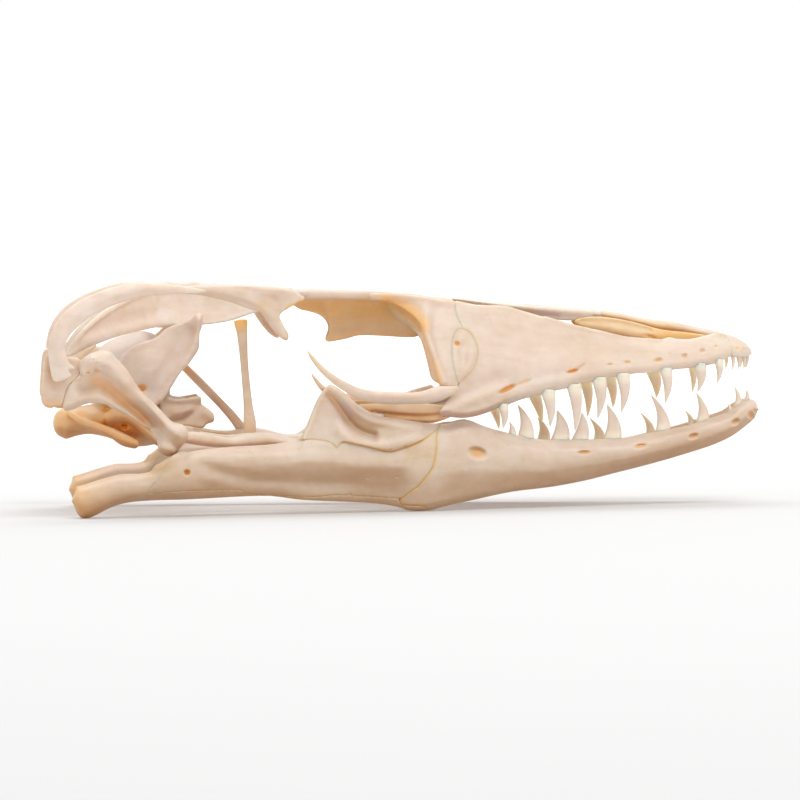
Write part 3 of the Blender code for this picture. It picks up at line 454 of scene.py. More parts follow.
        # scattered fine pores
        vo = N("ShaderNodeTexVoronoi")
        vo.inputs["Scale"].default_value = 620.0
        L(tc.outputs["Object"], vo.inputs["Vector"])
        pores = ramp(vo.outputs["Distance"], [(0.0, (0.72, 0.58, 0.42)), (0.10, (1.0, 1.0, 1.0)), (1.0, (1.0, 1.0, 1.0))])
        patch = ramp(noise(55.0, 2.0), [(0.52, (1.0, 1.0, 1.0)), (0.70, (0.0, 0.0, 0.0))])
        lit = N("ShaderNodeMix")
        lit.data_type = 'RGBA'
        lit.blend_type = 'LIGHTEN'
        lit.inputs[0].default_value = 1.0
        L(pores, lit.inputs[6])
        L(patch, lit.inputs[7])
        col = times(col, lit.outputs[2])
    L(col, bs.inputs["Base Color"])
    bump = N("ShaderNodeBump")
    bump.inputs["Strength"].default_value = 0.16 if not tooth else 0.05
    bump.inputs["Distance"].default_value = 0.0002
    L(noise(1100.0, 5.0, 0.6), bump.inputs["Height"])
    b2 = N("ShaderNodeBump")
    b2.inputs["Strength"].default_value = 0.20 if not tooth else 0.05
    b2.inputs["Distance"].default_value = 0.0006
    L(noise(240.0, 3.0), b2.inputs["Height"])
    L(bump.outputs["Normal"], b2.inputs["Normal"])
    L(b2.outputs["Normal"], bs.inputs["Normal"])
    bs.inputs["Roughness"].default_value = 0.40 if not tooth else 0.22
    bs.inputs["IOR"].default_value = 1.5
    bs.inputs["Subsurface Weight"].default_value = 0.50 if not tooth else 0.60
    bs.inputs["Subsurface Radius"].default_value = (1.0, 0.62, 0.36)
    bs.inputs["Subsurface Scale"].default_value = 0.0020 if not tooth else 0.0016
    return mat


BONE = bone_material("bone")
TOOTH = bone_material("tooth", tooth=True)
COUNT = {}


def warp_left(pts):
    """The left branch hangs a little lower and its coronoid peak leans forward."""
    u, z = MID_U + pts[:, 0] / UNIT, pts[:, 2]
    low = LEFT_LOW * z * sstep(180, 260, u) * (1 - sstep(445, 520, u))
    sag = LEFT_SAG * sstep(445, 510, u) * (1 - sstep(610, 735, u))
    lean = LEFT_LEAN * sstep(0.0136, 0.0170, z) * sstep(270, 300, u) * (1 - sstep(345, 420, u))
    pts = pts.copy()
    pts[:, 0] += lean
    pts[:, 2] -= low + sag
    return pts


def warp_orbit(pts):
    """The strut in front of the left orbit is a little narrower."""
    u, z = MID_U + pts[:, 0] / UNIT, pts[:, 2]
    pts = pts.copy()
    pts[:, 0] += LEFT_ORBIT * (1 - sstep(0.0325, 0.0365, z)) * (1 - sstep(432, 448.5, u))
    return pts


def without_crumbs(pts, tri, warm):
    """Leave out loose specks beside the bone."""
    lab = np.arange(len(pts))
    for _ in range(3000):
        new = lab.copy()
        np.minimum.at(new, tri.ravel(), np.repeat(lab[tri].min(1), 3))
        new = new[new]
        new = new[new]
        if (new == lab).all():
            break
        lab = new
    size = np.bincount(lab[tri[:, 0]], minlength=len(pts))
    good = size[lab] > 0.08 * size.max()
    if good.all():
        return pts, tri, warm
    tri = tri[good[tri[:, 0]]]
    used = np.unique(tri)
    remap = np.zeros(len(pts), int)
    remap[used] = np.arange(len(used))
    return pts[used], remap[tri], warm[used]


def reduced(pts, faces, warm, keep):
    """The same surface with fewer faces: points, triangles and warm values."""
    me = bpy.data.meshes.new("work")
    nf = len(faces)
    me.vertices.add(len(pts))
    me.vertices.foreach_set("co", pts.astype(np.float32).ravel())
    me.loops.add(nf * 4)
    me.loops.foreach_set("vertex_index", faces.astype(np.int32).ravel())
    me.polygons.add(nf)
    me.polygons.foreach_set("loop_start", np.arange(0, nf * 4, 4, dtype=np.int32))
    me.update(calc_edges=True)
    me.validate()
    at = me.attributes.new("warm", 'FLOAT', 'POINT')
    at.data.foreach_set("value", warm.astype(np.float32))
    ob = bpy.data.objects.new("work", me)
    bpy.context.scene.collection.objects.link(ob)
    mod = ob.modifiers.new("thin", 'DECIMATE')
    mod.ratio = keep
    bpy.context.view_layer.update()
    dg = bpy.context.evaluated_depsgraph_get()
    me2 = bpy.data.meshes.new_from_object(ob.evaluated_get(dg), depsgraph=dg)
    bm = bmesh.new()
    bm.from_mesh(me2)
    bmesh.ops.triangulate(bm, faces=bm.faces[:])
    bm.to_mesh(me2)
    bm.free()
    n = len(me2.vertices)
    co = np.empty(n * 3, np.float32)
    me2.vertices.foreach_get("co", co)
    tri = np.empty(len(me2.loops), np.int32)
    me2.loops.foreach_get("vertex_index", tri)
    w2 = np.empty(n, np.float32)
    me2.attributes["warm"].data.foreach_get("value", w2)
    bpy.data.objects.remove(ob)
    bpy.data.meshes.remove(me)
    bpy.data.meshes.remove(me2)
    return without_crumbs(co.reshape(-1, 3).astype(float), tri.reshape(-1, 3), w2)


def mesh_object(name, pts, tris, warm, extra=None):
    """Object from world points and triangles; extra holds tooth meshes."""
    pts, loops, mats, sizes, wv = [pts], [tris.ravel()], [np.zeros(len(tris), np.int32)], [np.full(len(tris), 3)], [warm]
    base = len(pts[0])
    for tp, tf, tw in extra or []:
        pts.append(np.array(tp))
        loops.append(np.concatenate([np.array(f) for f in tf]) + base)
        sizes.append(np.array([len(f) for f in tf]))
        mats.append(np.ones(len(tf), np.int32))
        wv.append(np.array(tw))
        base += len(tp)
    pts, loops, mats, sizes, wv = map(np.concatenate, (pts, loops, mats, sizes, wv))
    me = bpy.data.meshes.new(name)
    me.vertices.add(len(pts))
    me.vertices.foreach_set("co", pts.astype(np.float32).ravel())
    me.loops.add(len(loops))
    me.loops.foreach_set("vertex_index", loops.astype(np.int32))
    me.polygons.add(len(sizes))
    me.polygons.foreach_set("loop_start", np.concatenate([[0], np.cumsum(sizes)[:-1]]).astype(np.int32))
    me.update(calc_edges=True)
    me.polygons.foreach_set("material_index", mats)
    me.polygons.foreach_set("use_smooth", np.ones(len(sizes), bool))
    at = me.attributes.new("warm", 'FLOAT', 'POINT')
    at.data.foreach_set("value", wv.astype(np.float32))
    me.materials.append(BONE)
    if extra:
        me.materials.append(TOOTH)
    me.update()
    ob = bpy.data.objects.new(name, me)
    bpy.context.scene.collection.objects.link(ob)
    COUNT[name] = int((sizes - 2).sum())
    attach(ob, "root")
    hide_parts(name[3:])
    return ob


def sampled(field, verts, warm):
    if warm is None:
        return np.zeros(len(verts))
    iu = np.clip((verts[:, 0] - field.U[0]) / field.h, 0, len(field.U) - 1.001)
    iv = np.clip((verts[:, 1] - field.V[0]) / field.h, 0, len(field.V) - 1.001)
    a, b = iu.astype(int), iv.astype(int)
    fa, fb = iu - a, iv - b
    wv = (warm[a, b] * (1 - fa) * (1 - fb) + warm[a + 1, b] * fa * (1 - fb)
          + warm[a, b + 1] * (1 - fa) * fb + warm[a + 1, b + 1] * fa * fb)
    return np.clip(wv, -1, 1)


def trilinear(F, field, p):
    """Field value at points of the block."""
    q = (p - np.array([field.U[0], field.V[0], field.W[0]])) / field.h
    q = np.clip(q, 0, np.array(F.shape) - 1.001)
    i = q.astype(int)
    t = q - i
    out = 0
    for a in (0, 1):
        for b in (0, 1):
            for c in (0, 1):
                wt = (t[:, 0] if a else 1 - t[:, 0]) * (t[:, 1] if b else 1 - t[:, 1]) * (t[:, 2] if c else 1 - t[:, 2])
                out = out + wt * F[i[:, 0] + a, i[:, 1] + b, i[:, 2] + c]
    return out


def shade_tinted(F, field, verts, warm):
    """Warm tint plus painted shade in hollows and on bone that faces down, and a painted glow on thin bone."""
    e = field.h * 0.6
    g = np.stack([trilinear(F, field, verts + d) - trilinear(F, field, verts - d) for d in np.eye(3) * e], 1)
    n = g / (np.linalg.norm(g, axis=1, keepdims=True) + 1e-9)
    # painted shade: bone in hollows, closed round by nearby bone, is tinted warmer
    hollow_shade = 0
    for d, k in ((0.45, 0.4), (0.9, 0.35), (1.6, 0.25)):
        hollow_shade = hollow_shade + k * np.clip((d - trilinear(F, field, verts + n * d)) / d, 0, 1.2)
    # painted glow: thin bone is tinted a little warmer
    thin = np.clip((trilinear(F, field, verts - n * 0.9) + 0.45) / 0.6, 0, 1)
    # painted shade: bone that faces down is tinted warmer
    down = np.clip(n[:, 1], 0, 1) ** 1.5
    return np.clip(warm + 0.55 * np.clip(hollow_shade - 0.14, 0, 1) + 0.05 * thin + 0.10 * down, -1, 1)


def emit(node, field, F, warm=None, sides=("_r", "_l"), keep=0.45, teeth=None, shift=None, as_left=False):
    """Turn a field into the high-detail bones that stand for the CAD node on each side."""
    verts, quads = surface(F, field)
    world = to_world(verts[:, 0] / 0.2, verts[:, 1] / 0.2, verts[:, 2])
    wv = shade_tinted(F, field, verts, sampled(field, verts, warm))
    pts, tris, wv = reduced(world, quads, wv, keep)
    for s in sides:
        p, t = pts, tris
        if s == "_l" and not as_left:
            p = pts * np.array([1, -1, 1])
            t = tris[:, ::-1]
        if s == "_l" and shift is not None:
            p = shift(p)
        mesh_object("hd_" + node + s, p, t, wv, teeth(s) if teeth else None)


def emit_mid(node, field, F, warm=None, keep=0.45, teeth=None):
    """Bone across the mid plane, the same on both sides of it."""
    verts, quads = surface(F, field)
    w = verts[:, 2]
    world = to_world(verts[:, 0] / 0.2, verts[:, 1] / 0.2, np.abs(w))
    world[:, 1] *= np.where(w >= 0, 1, -1)
    pts, tris, wv = reduced(world, quads, shade_tinted(F, field, verts, sampled(field, verts, warm)), keep)
    mesh_object("hd_" + node, pts, tris, wv, teeth() if teeth else None)


def symmetric(field, maker):
    """Field that is the same on both sides of w = 0: maker gets a field whose W is |w|."""
    g = Field.__new__(Field)
    g.__dict__.update(field.__dict__)
    order = np.abs(field.W)
    uniq, inv = np.unique(order.round(5), return_inverse=True)
    g.W = uniq.astype(np.float32)
    g.Z = g.W[None, None, :]
    g.shape = (len(g.U), len(g.V), len(g.W))
    half = maker(g)
    return half[:, :, inv]


# ------------------------------------------------------------------ teeth
def tooth_mesh(a, b, vb, tip, w, half, tip_w=None, root=3.0, flat=1.0, sides=24, rings=15, bow=0.35):
    """Recurved conical tooth as (side-view points, faces, warm)."""
    bu, hb = (a + b) / 2, abs(b - a) / 2
    length = abs(tip[1] - vb)
    tw = w if tip_w is None else tip_w
    pts, faces, warm = [], [], []
    fs = [-root / length] + list(np.linspace(0, 1, rings))
    for f in fs:
        g = max(f, 0.0)
        sc = (1 - g) ** 0.68 * (1 + 0.06 * math.sin(math.pi * min(g * 1.2, 1))) if g < 1 else 0.0
        sc = max(sc, 0.035)
        if f < 0:
            sc = 1.04
        v = vb + (tip[1] - vb) * f
        # the crown leans first with the jaw, then sweeps back to its tip
        u = bu + (tip[0] - bu) * (g ** 1.7) + hb * bow * math.sin(math.pi * g)
        ww = w + (tw - w) * g
        for k in range(sides):
            an = 2 * math.pi * k / sides
            flute = 1.0 + 0.045 * math.cos(8 * an) * max(0.0, 1 - g / 0.4)
            pts.append((u + hb * sc * flute * math.cos(an), v, ww + half * sc * flute * math.sin(an)))
            warm.append(1.0 - sstep(0.0, 0.45, g) if f >= 0 else 1.0)
    n = len(fs)
    for i in range(n - 1):
        for k in range(sides):
            k2 = (k + 1) % sides
            faces.append((i * sides + k, i * sides + k2, (i + 1) * sides + k2, (i + 1) * sides + k))
    faces.append(tuple(range(sides))[::-1])
    faces.append(tuple((n - 1) * sides + k for k in range(sides)))
    return np.array(pts, float), faces, warm


def place_tooth(t, side_w=1, mirror=False, shift=None):
    pts, faces, warm = t
    world = to_world(pts[:, 0], pts[:, 1], pts[:, 2])
    if mirror:
        world[:, 1] *= -1
    if shift is not None:
        world = shift(world)
    # outward faces
    c = world.mean(0)
    f = faces[len(faces) // 2]
    nrm = np.cross(world[f[1]] - world[f[0]], world[f[2]] - world[f[0]])
    ring_c = world[[i for i in f]].mean(0)
    axis_c = world[(f[0] // 24) * 24:(f[0] // 24) * 24 + 24].mean(0)
    if np.dot(nrm, ring_c - axis_c) < 0:
        faces = [tuple(reversed(q)) for q in faces]
    return [Vector(p) for p in world], faces, warm


# ------------------------------------------------------------------ muzzle: maxilla, prefrontal, lacrimal
MUZ_TOP_V = [(415, 294), (440, 298), (453, 300), (503, 305.5), (553, 319.5), (600, 331),
             (659, 339), (700, 336), (729, 340)]
MUZ_LOW_V = [(415, 404), (441, 416), (480, 414), (541, 395), (600, 381), (660, 372), (720, 361), (734, 354)]
MUZ_TOP_W = [(415, 10.5), (430, 10.0), (453, 9.5), (480, 8.5), (503, 7.8), (553, 6.5),
             (600, 5.8), (659, 5.2), (700, 4.5), (729, 3.9)]
MUZ_LOW_W = [(415, 23), (441, 22), (480, 19), (512, 17.2), (541, 15.6), (575, 14.2),
             (600, 13.0), (660, 11.0), (700, 9.4), (729, 7.2), (740, 6.0)]


def muzzle(u, v):
    top, low = curve(MUZ_TOP_V, u), curve(MUZ_LOW_V, u)
    s = np.clip((v - top) / (low - top), -0.15, 1.0)
    tw, lw = curve(MUZ_TOP_W, u), curve(MUZ_LOW_W, u)
    return tw + (lw - tw) * np.where(s > 0, 1 - np.abs(1 - s) ** 1.7, 1.7 * s), s


MAXILLA = [(452.4, 300.4), (477, 304.6), (503, 305.5), (516, 308.7), (553, 319.5), (574, 325.5), (600, 331.3),
           (627, 338), (640, 340), (659, 339.3), (669, 336.9), (677, 338.5), (691, 338.5), (704, 335.3),
           (715, 332.9), (725, 334), (729.2, 340), (731.6, 348), (731.9, 355), (728, 357.6), (721, 361),
           (715, 363.6), (705, 365.6), (687, 368.3), (674, 369.6), (654, 372.3), (634, 373.7), (607, 378.3),
           (599, 380.8), (580, 383.3), (567, 388.4), (554, 391), (541, 394.8), (522, 399.3), (509, 404.4),
           (499, 407.6), (489, 412), (475, 416.4), (462, 418), (450, 417), (441, 415.8), (440, 411.5), (444, 405),
           (449, 399), (454, 391.5), (457.6, 386.6), (460, 378), (462, 360), (462, 342), (461.6, 334), (461.0, 326.5), (457.4, 320), (454.9, 312), (453.4, 305)]
LACRIMAL = [(457, 329), (461.5, 328), (466, 329.2), (470.5, 331.6), (474.3, 337), (477.2, 343.8), (479.1, 352.7),
            (476, 366.7), (468.3, 376.8), (458.6, 384.2), (456.0, 379), (453.4, 369.3), (451.2, 357),
            (451.3, 343.8), (453.4, 335)]
PREFRONTAL = [(372, 294.6), (385, 292.9), (400, 294), (420, 296.3), (437, 298.6), (452, 301.3), (458, 306), (462, 314), (464, 321),
              (464, 330), (462, 340), (461, 356), (460, 370), (459, 380),
              (458, 386.4), (451, 387.6), (446, 387.4), (441.0, 384.6), (437.4, 374), (434.2, 364),
              (431.4, 355), (427.6, 345), (424.4, 336), (421, 326), (414, 317), (402, 308), (388, 301.6)]
ALV = [(441, 415.8), (462, 418), (475, 416), (489, 412), (499, 407.6), (509, 404.4), (522, 399.3), (541, 394.8), (554, 391),
       (567, 388.4), (580, 383.3), (599, 380.8), (607, 378.3), (634, 373.7), (654, 372.3), (674, 369.6),
       (687, 368.3), (705, 365.6), (715, 363.6), (721, 361), (732, 355)]
FORAMEN_LINE = [(498, 391), (520, 382.5), (545, 376), (572, 370.5), (600, 364.5), (627, 361.6), (660, 358.6), (690, 355.2),
                (715, 350)]
# u, v, long radius, short radius, turn in degrees, depth in mm
MAX_PITS = [(507, 388.9, 10, 2.5, -27, 1.5), (524, 382.0, 9, 1.5, -20, 0.45), (572.5, 371, 6.0, 1.8, -14, 1.3),
            (581, 366.4, 6, 1.4, -32, 0.4), (610, 364.4, 3.0, 1.3, -15, 0.6), (627.3, 362.3, 3.6, 1.8, 0, 0.8),
            (658.2, 360.2, 5.0, 2.4, -8, 0.9), (684.5, 355.6, 2.8, 2.4, 0, 0.8), (702.5, 350.8, 2.8, 2.6, 0, 0.8),
            (669, 354, 2.2, 1.2, 0, 0.3), (450.6, 307.4, 1.3, 1.0, 0, 0.3), (447, 311, 1.2, 1.0, 0, 0.3),
            (487.6, 314.4, 1.1, 0.9, 0, 0.3), (490, 319.5, 1.2, 0.9, 0, 0.3), (716, 346.5, 2.0, 1.6, 0, 0.5)]
TEETH_UP_R = [(498, 508, 407.6, (502.9, 428.6)), (541, 554.6, 393.5, (550, 426.7)),
              (567, 581, 388, (575, 431)), (592, 606, 381, (597.7, 418.5)),
              (616, 629.6, 377, (621.3, 412.2)), (660, 672, 371.6, (665, 403.8)),
              (694, 706, 367, (697.5, 392.4)), (714.4, 723, 363, (717, 383.5))]
TEETH_UP_L = [(489.5, 499, 410, (499, 429)), (528, 541, 396, (542, 422.9)),
              (580, 592, 383, (587.5, 417)), (604, 616, 379, (613, 408)),
              (646, 660, 373, (656.5, 397.8)), (688, 696.6, 367.6, (692, 393))]


def maxilla_teeth(side):
    out = []
    for a, b, vb, tip in (TEETH_UP_R if side == "_r" else TEETH_UP_L):
        w = float(curve(MUZ_LOW_W, (a + b) / 2)) - 0.95
        sg = 1 if side == "_r" else -1
        t = tooth_mesh(a, b, vb - 1.0, tip, w * sg, 0.95, tip_w=(w - 0.25) * sg, root=3.0 if sg == 1 else 14.0)
        out.append(place_tooth(t))
    return out


def build_muzzle():
    f = Field(366, 736, 288, 422, 2.0, 24.0, 0.2)
    u, v = f.u, f.v
    W, s = muzzle(np.maximum(u, 425.0), v)
    d_alv = f.line(ALV, 3)
    # swell over the tooth roots, rolled-in margin, groove of the nerve openings
    W = W - 0.75 * np.exp(-(d_alv / 0.85) ** 2)
    W = W + f.ridge([(a, b + 9) for a, b in FORAMEN_LINE], 1.5, 0.22) - f.ridge(FORAMEN_LINE, 0.9, 0.14)
    for a, b, vb, tip in TEETH_UP_R:
        W = W + 0.16 * f.spot((a + b) / 2 - 1, vb - 9, 6.5, 11, 0, 2)
    W = W + 0.10 * wobble(u, v, 70, 3) + 0.025 * wobble(u, v, 17, 4)
    warm = 0.10 * sstep(0.0, 1.2, -0 * u) + 0.05 * (1 + wobble(u, v, 60, 8))
    # painted shade: the nerve openings are tinted orange inside (pit)
    pit = 0.0 * u
    for a, b, ra, rb, ang, dep in MAX_PITS:
        m = f.spot(a, b, ra * 0.9, rb * 0.85, ang)
        W = W - 0.62 * dep * m
        pit = np.maximum(pit, m ** 1.3 * min(0.66, 0.25 + dep * 0.35))
    warm = np.maximum(warm, pit * 0.95)
    seam_tint = 0.38 * np.exp(-(f.outline(LACRIMAL) / 0.28) ** 2) + 0.32 * np.exp(-(f.outline(MAXILLA) / 0.28) ** 2) * sstep(476, 462, u) * sstep(384, 374, v)
    warm = np.maximum(warm, np.clip(seam_tint, 0, 0.55))
    W = W + f.ridge([(443, 411), (460, 405), (482, 396), (506, 387)], 1.1, 0.38) + f.ridge([(452, 415), (475, 412), (500, 404)], 0.7, 0.25) \
        - f.ridge([(452, 399), (475, 389), (496, 378)], 1.3, 0.30)
    # a shallow dish behind the nostril and a soft crest along the upper edge
    W = W - 0.35 * f.spot(610, 352, 52, 8, 8, 2) - 0.28 * f.spot(530, 352, 38, 26, 20, 2)
    th = 1.2 + 0.2 * sstep(0.2, 0.6, s) + 1.6 * sstep(0.72, 0.97, s)
    th = th * (1 - 0.25 * sstep(680, 730, u))
    seam = -0.22
    d_lac = f.outline(LACRIMAL)
    d_max = f.outline(MAXILLA)
    d = np.maximum(d_max, -(d_lac - 2 * seam))
    F = f.relief(d, W, th, 0.45)
    # rim of the nostril stands out a little
    rim = f.tube([(545, 318.5, 6.6, 0.5, 0.4), (574, 327, 6.4, 0.5, 0.4), (600, 332.8, 6.1, 0.5, 0.4),
                  (627, 339, 5.8, 0.5, 0.4), (659, 341, 5.6, 0.45, 0.4)])
    F = smin(F, rim, 0.5)
    emit("maxilla", f, F, warm, teeth=maxilla_teeth)

    # lacrimal: raised lens with a hooked bump at its upper end
    Wl = W - 0.05
    dl = f.outline(LACRIMAL)
    Wl = Wl + 0.22 * sstep(0.0, 1.3, -dl) - 0.14 * np.exp(-((dl + 1.9) / 0.55) ** 2) * sstep(340, 352, v)
    Wl = Wl + 0.55 * f.spot(461, 339.5, 5, 5, 0, 2) - 0.6 * f.spot(457, 343.5, 2.6, 2.0, 30, 4)
    Fl = f.relief(d_lac, Wl, 1.4, 0.25)
    # painted shade: the notch at the hooked bump is tinted warm; the band at the edge is the suture
    wl = 0.12 + 0.24 * np.exp(-(dl / 0.26) ** 2) + 0.5 * f.spot(457, 343.5, 3, 2.4, 30)
    emit("lacrimal", f, Fl, wl)

    # prefrontal: face, brow ridge, wall of the orbit
    back = np.clip(425.0 - u, 0, 60)
    Wp = W - 0.045 * back - 0.0006 * back ** 2 * np.clip((v - 292) / 12, 0, 3)
    Wp = Wp + 0.35 * f.ridge([(427, 313), (425.5, 330), (428, 350), (432, 368), (437, 384)], 0.9, 1.0) \
        - 0.22 * f.ridge([(436, 306), (434.5, 330), (438, 352), (444, 380)], 1.1, 1.0)
    dp = np.maximum.reduce([f.outline(PREFRONTAL), -(d_lac - 2 * seam), -(d_max - 2 * seam)])
    thp = 1.3 + 0.3 * sstep(300, 330, v)
    Fp = f.relief(dp, Wp, thp, 0.5)
    brow = f.tube([(371, 296.0, 8.2, 0.35, 0.35), (385, 296.6, 8.6, 0.5, 0.5), (403, 299.0, 9.3, 0.6, 0.6),
                   (416, 303.5, 10.3, 0.7, 0.7), (425, 311.5, 12.0, 0.75, 0.75), (425.5, 325, 14.6, 0.7, 0.7),
                   (427.6, 336, 16.7, 0.6, 0.7), (433.0, 352, 18.3, 0.6, 0.75), (438.2, 368, 19.5, 0.65, 0.75),
                   (443, 382, 20.3, 0.75, 0.7)])
    Fp = smin(Fp, brow, 0.7)
    shelf = f.roof([(371, 8.0), (392, 7.75), (416, 7.45), (436, 7.05), (446, 6.6), (452, 6.8), (455, 8.6), (454, 10.4), (430, 11.2),
                    (404, 10.2), (385, 9.3), (374, 8.8)],
                   lambda uu, w: curve([(371, 294.2), (392, 293.8), (416, 295.4), (436, 298.4), (452, 301.2), (460, 303)], uu)
                   + 0.25 * np.clip(w - 8, 0, 5) ** 1.5, 1.2, 0.45, 2)
    Fp = smin(Fp, shelf, 0.9)
    g = f
    vv = f.V[:, None] / 0.2 * np.ones((1, len(f.W)))
    ww = f.W[None, :] * np.ones((len(f.V), 1))
    rimu = np.interp(vv, [296, 304, 313, 325, 335, 352, 368, 384], [396, 412, 423, 425.5, 425.6, 431.0, 436.0, 440.6])
    rimw = np.interp(vv, [296, 304, 313, 325, 335, 352, 368, 384], [8.6, 10, 12, 14.4, 16.4, 18, 19.2, 20])
    k = np.interp(vv, [296, 304, 313, 320, 326, 334, 345, 384], [4.0, 4.4, 3.4, 2.3, 1.4, 0.45, -0.15, -0.15])
    um = rimu - (rimw - ww) * k
    pv = spline([(300 * 0.2, 3.4), (299 * 0.2, 8.6), (308 * 0.2, 10.8), (320 * 0.2, 13.4), (335 * 0.2, 16.2),
                 (352 * 0.2, 17.8), (368 * 0.2, 19), (383 * 0.2, 19.8), (385 * 0.2, 14), (374 * 0.2, 11),
                 (356 * 0.2, 8.8), (341 * 0.2, 7), (334 * 0.2, 3.0)], 3, True)
    dvw = poly_distance(vv * 0.2, ww, pv)
    du = np.abs(f.U[:, None, None] - (um * 0.2 - 0.0)[None]) - 0.45
    a, b = dvw[None] + 0.4, du + 0.4
    wall = np.minimum(np.maximum(a, b), 0) + np.hypot(np.maximum(a, 0), np.maximum(b, 0)) - 0.4
    Fp = smin(Fp, wall.astype(np.float32), 1.0)
    # painted shade and glow: tinted warmer on the orbit wall behind the rim, under the brow ridge, on the thin strip
    # along the orbit's front edge and the patch below it; the band near the edges is the suture
    wp = 0.08 + 0.1 * sstep(428, 420, u) + 0.16 * np.exp(-(dp / 0.5) ** 2) * sstep(440, 450, u)
    wp = np.maximum(wp, 0.62 * f.ridge([(386, 301), (402, 307), (414, 315), (422, 326)], 1.9, 1.0))
    wp = np.maximum(wp, 0.30 * f.spot(437, 371, 8, 16, -14, 3))
    wp = np.maximum(wp, 0.55 * f.ridge([(422, 336), (429.0, 355), (435.0, 371), (439.6, 384)], 0.8, 1.0))
    emit("prefrontal", f, Fp, wp, shift=warp_orbit)


# ------------------------------------------------------------------ premaxilla, nasal, septomaxilla
def build_snout():
    f = Field(598, 753, 306, 358, -7, 7, 0.18)

    def half(g):
        bar = g.tube([(603, 314.4, 0, 0.78, 1.5), (622, 317.4, 0, 0.74, 1.6), (640, 321.4, 0, 0.74, 1.6), (657, 325.0, 0, 1.02, 1.8),
                      (673, 326.8, 0, 1.0, 1.9), (690, 329.8, 0, 0.85, 1.8), (702, 332.4, 0, 0.9, 1.9), (716, 337, 0, 1.2, 2.0), (730, 344, 0, 1.6, 2.4),
                      (740, 349, 0, 1.3, 2.2)], 6)
        W = curve([(728, 6.2), (734, 6.0), (740, 5.3), (745, 4.1), (749, 2.6), (751.5, 1.3), (753, 0.5)], g.u)
        lo = curve([(728, 355), (735, 356), (745, 356), (750, 355), (753, 353.5)], g.u)
        top = curve([(726, 335), (733, 338), (741, 341.5), (746, 344.6), (750, 348.4), (752, 352)], g.u)
        s = np.clip((lo - g.v) / np.maximum(lo - top, 0.5), 0, 1)
        W = W * (0.25 + 0.75 * (1 - s ** 2.2))
        W = W - 0.35 * g.spot(737, 348.5, 2.4, 1.8, 0) - 0.3 * g.spot(744, 349.5, 1.6, 1.5, 0)
        d2 = g.outline([(727.4, 336.6), (736, 338.4), (741, 341), (746, 344), (750, 347.8), (751.8, 351), (751.4, 354.4),
                        (748, 356.4), (741, 356.8), (731.2, 356.2), (729.6, 349), (728.4, 341)])
        dw = np.abs(g.Z) - W[..., None]
        a, b = d2[..., None] + 0.5, dw * 0.8 + 0.5
        head = np.minimum(np.maximum(a, b), 0) + np.hypot(np.maximum(a, 0), np.maximum(b, 0)) - 0.5
        return smin(bar, head.astype(np.float32), 0.7)

    F = symmetric(f, half)
    # painted shade: tinted warmer in the two pits of the snout tip, towards the back of the bar and on the bone under
    # the bar
    warm = 0.1 + 0.05 * wobble(f.u, f.v, 20, 5) + 0.5 * f.spot(737, 348.5, 2.4, 1.8, 0) + 0.4 * f.spot(744, 349.5, 1.6, 1.5, 0) \
        + 0.20 * sstep(710, 640, f.u) + 0.2 * sstep(2.5, 6.0, f.v - curve([(604, 311), (640, 318), (673, 322), (707, 329), (735, 343)], f.u)) * sstep(712, 690, f.u)

    def teeth():
        out = []
        for a, b, vb, tip, w in ((730.4, 734.9, 355.4, (732.2, 370.7), 5.0), (735.8, 740.6, 355.4, (738.2, 369.8), 4.0),
                                 (741.2, 746, 355.4, (743.4, 368.6), 2.5), (744.4, 749, 355.0, (745.6, 368.4), 0.8)):
            for sg in (1, -1):
                t = tooth_mesh(a, b, vb, tip, w, 0.5, root=3.0)
                out.append(place_tooth(t, mirror=(sg < 0)))
        return out

    emit_mid("premaxilla", f, F, warm, keep=0.6, teeth=teeth)

    f = Field(449, 604, 294, 320, -5, 5, 0.2)

    def half(g):
        rows = [(452.5, 297.6, 299.8, 2.2), (470, 298.8, 303.5, 3.8), (503, 301.7, 309, 3.9), (530, 303.8, 313, 3.3),
                (560, 305.8, 316, 2.8), (590, 308.0, 317.5, 2.4), (601, 310.8, 317.6, 1.8)]
        t = curve([(r[0], r[1]) for r in rows], g.u)
        b = curve([(r[0], r[2]) for r in rows], g.u)
        hw = curve([(r[0], r[3]) for r in rows], g.u)
        cv, rv = (t + b) / 2, (b - t) / 2 * 0.2
        k0 = np.sqrt((((g.v - cv) * 0.2 / rv) ** 2)[..., None] + (g.Z / hw[..., None]) ** 2)
        k1 = np.sqrt((((g.v - cv) * 0.2 / rv ** 2) ** 2)[..., None] + (g.Z / hw[..., None] ** 2) ** 2) + 1e-6
        d = k0 * (k0 - 1) / k1
        e = np.maximum(452.0 - g.u, g.u - 602) * 0.2
        # a shallow furrow along the middle of the roof
        furrow = 0.22 * np.exp(-(g.Z / 0.45) ** 2) * sstep(0, -6, g.v - cv)[..., None]
        bar = smax(d + furrow, e[..., None] + 0 * d, 0.4)
        # thin flange that hangs over the nasal chamber on each side
        fl = g.relief([(478, 301.5), (520, 306), (556, 310), (584, 314), (592, 317.6), (575, 320.4), (556, 319.6), (540, 316.4),
                       (515, 310.2), (490, 305.0)], 3.3 - 0.010 * np.clip(g.u - 480, 0, 100) - 0.3 * g.ridge([(500, 307), (556, 316.5)], 0.7, 1.0), 0.8, 0.3)
        return smin(bar, fl, 0.7).astype(np.float32)

    F = symmetric(f, half)
    # painted light and shade: the top of the nasals is made paler (below zero), the sides under the roof warmer
    emit_mid("nasal", f, F, -0.45 + 0.40 * sstep(1.5, 6.0, f.v - curve([(452, 297.6), (503, 301.7), (560, 305.8), (601, 310.8)], f.u))
             + 0.06 * wobble(f.u, f.v, 22, 9), keep=0.5)

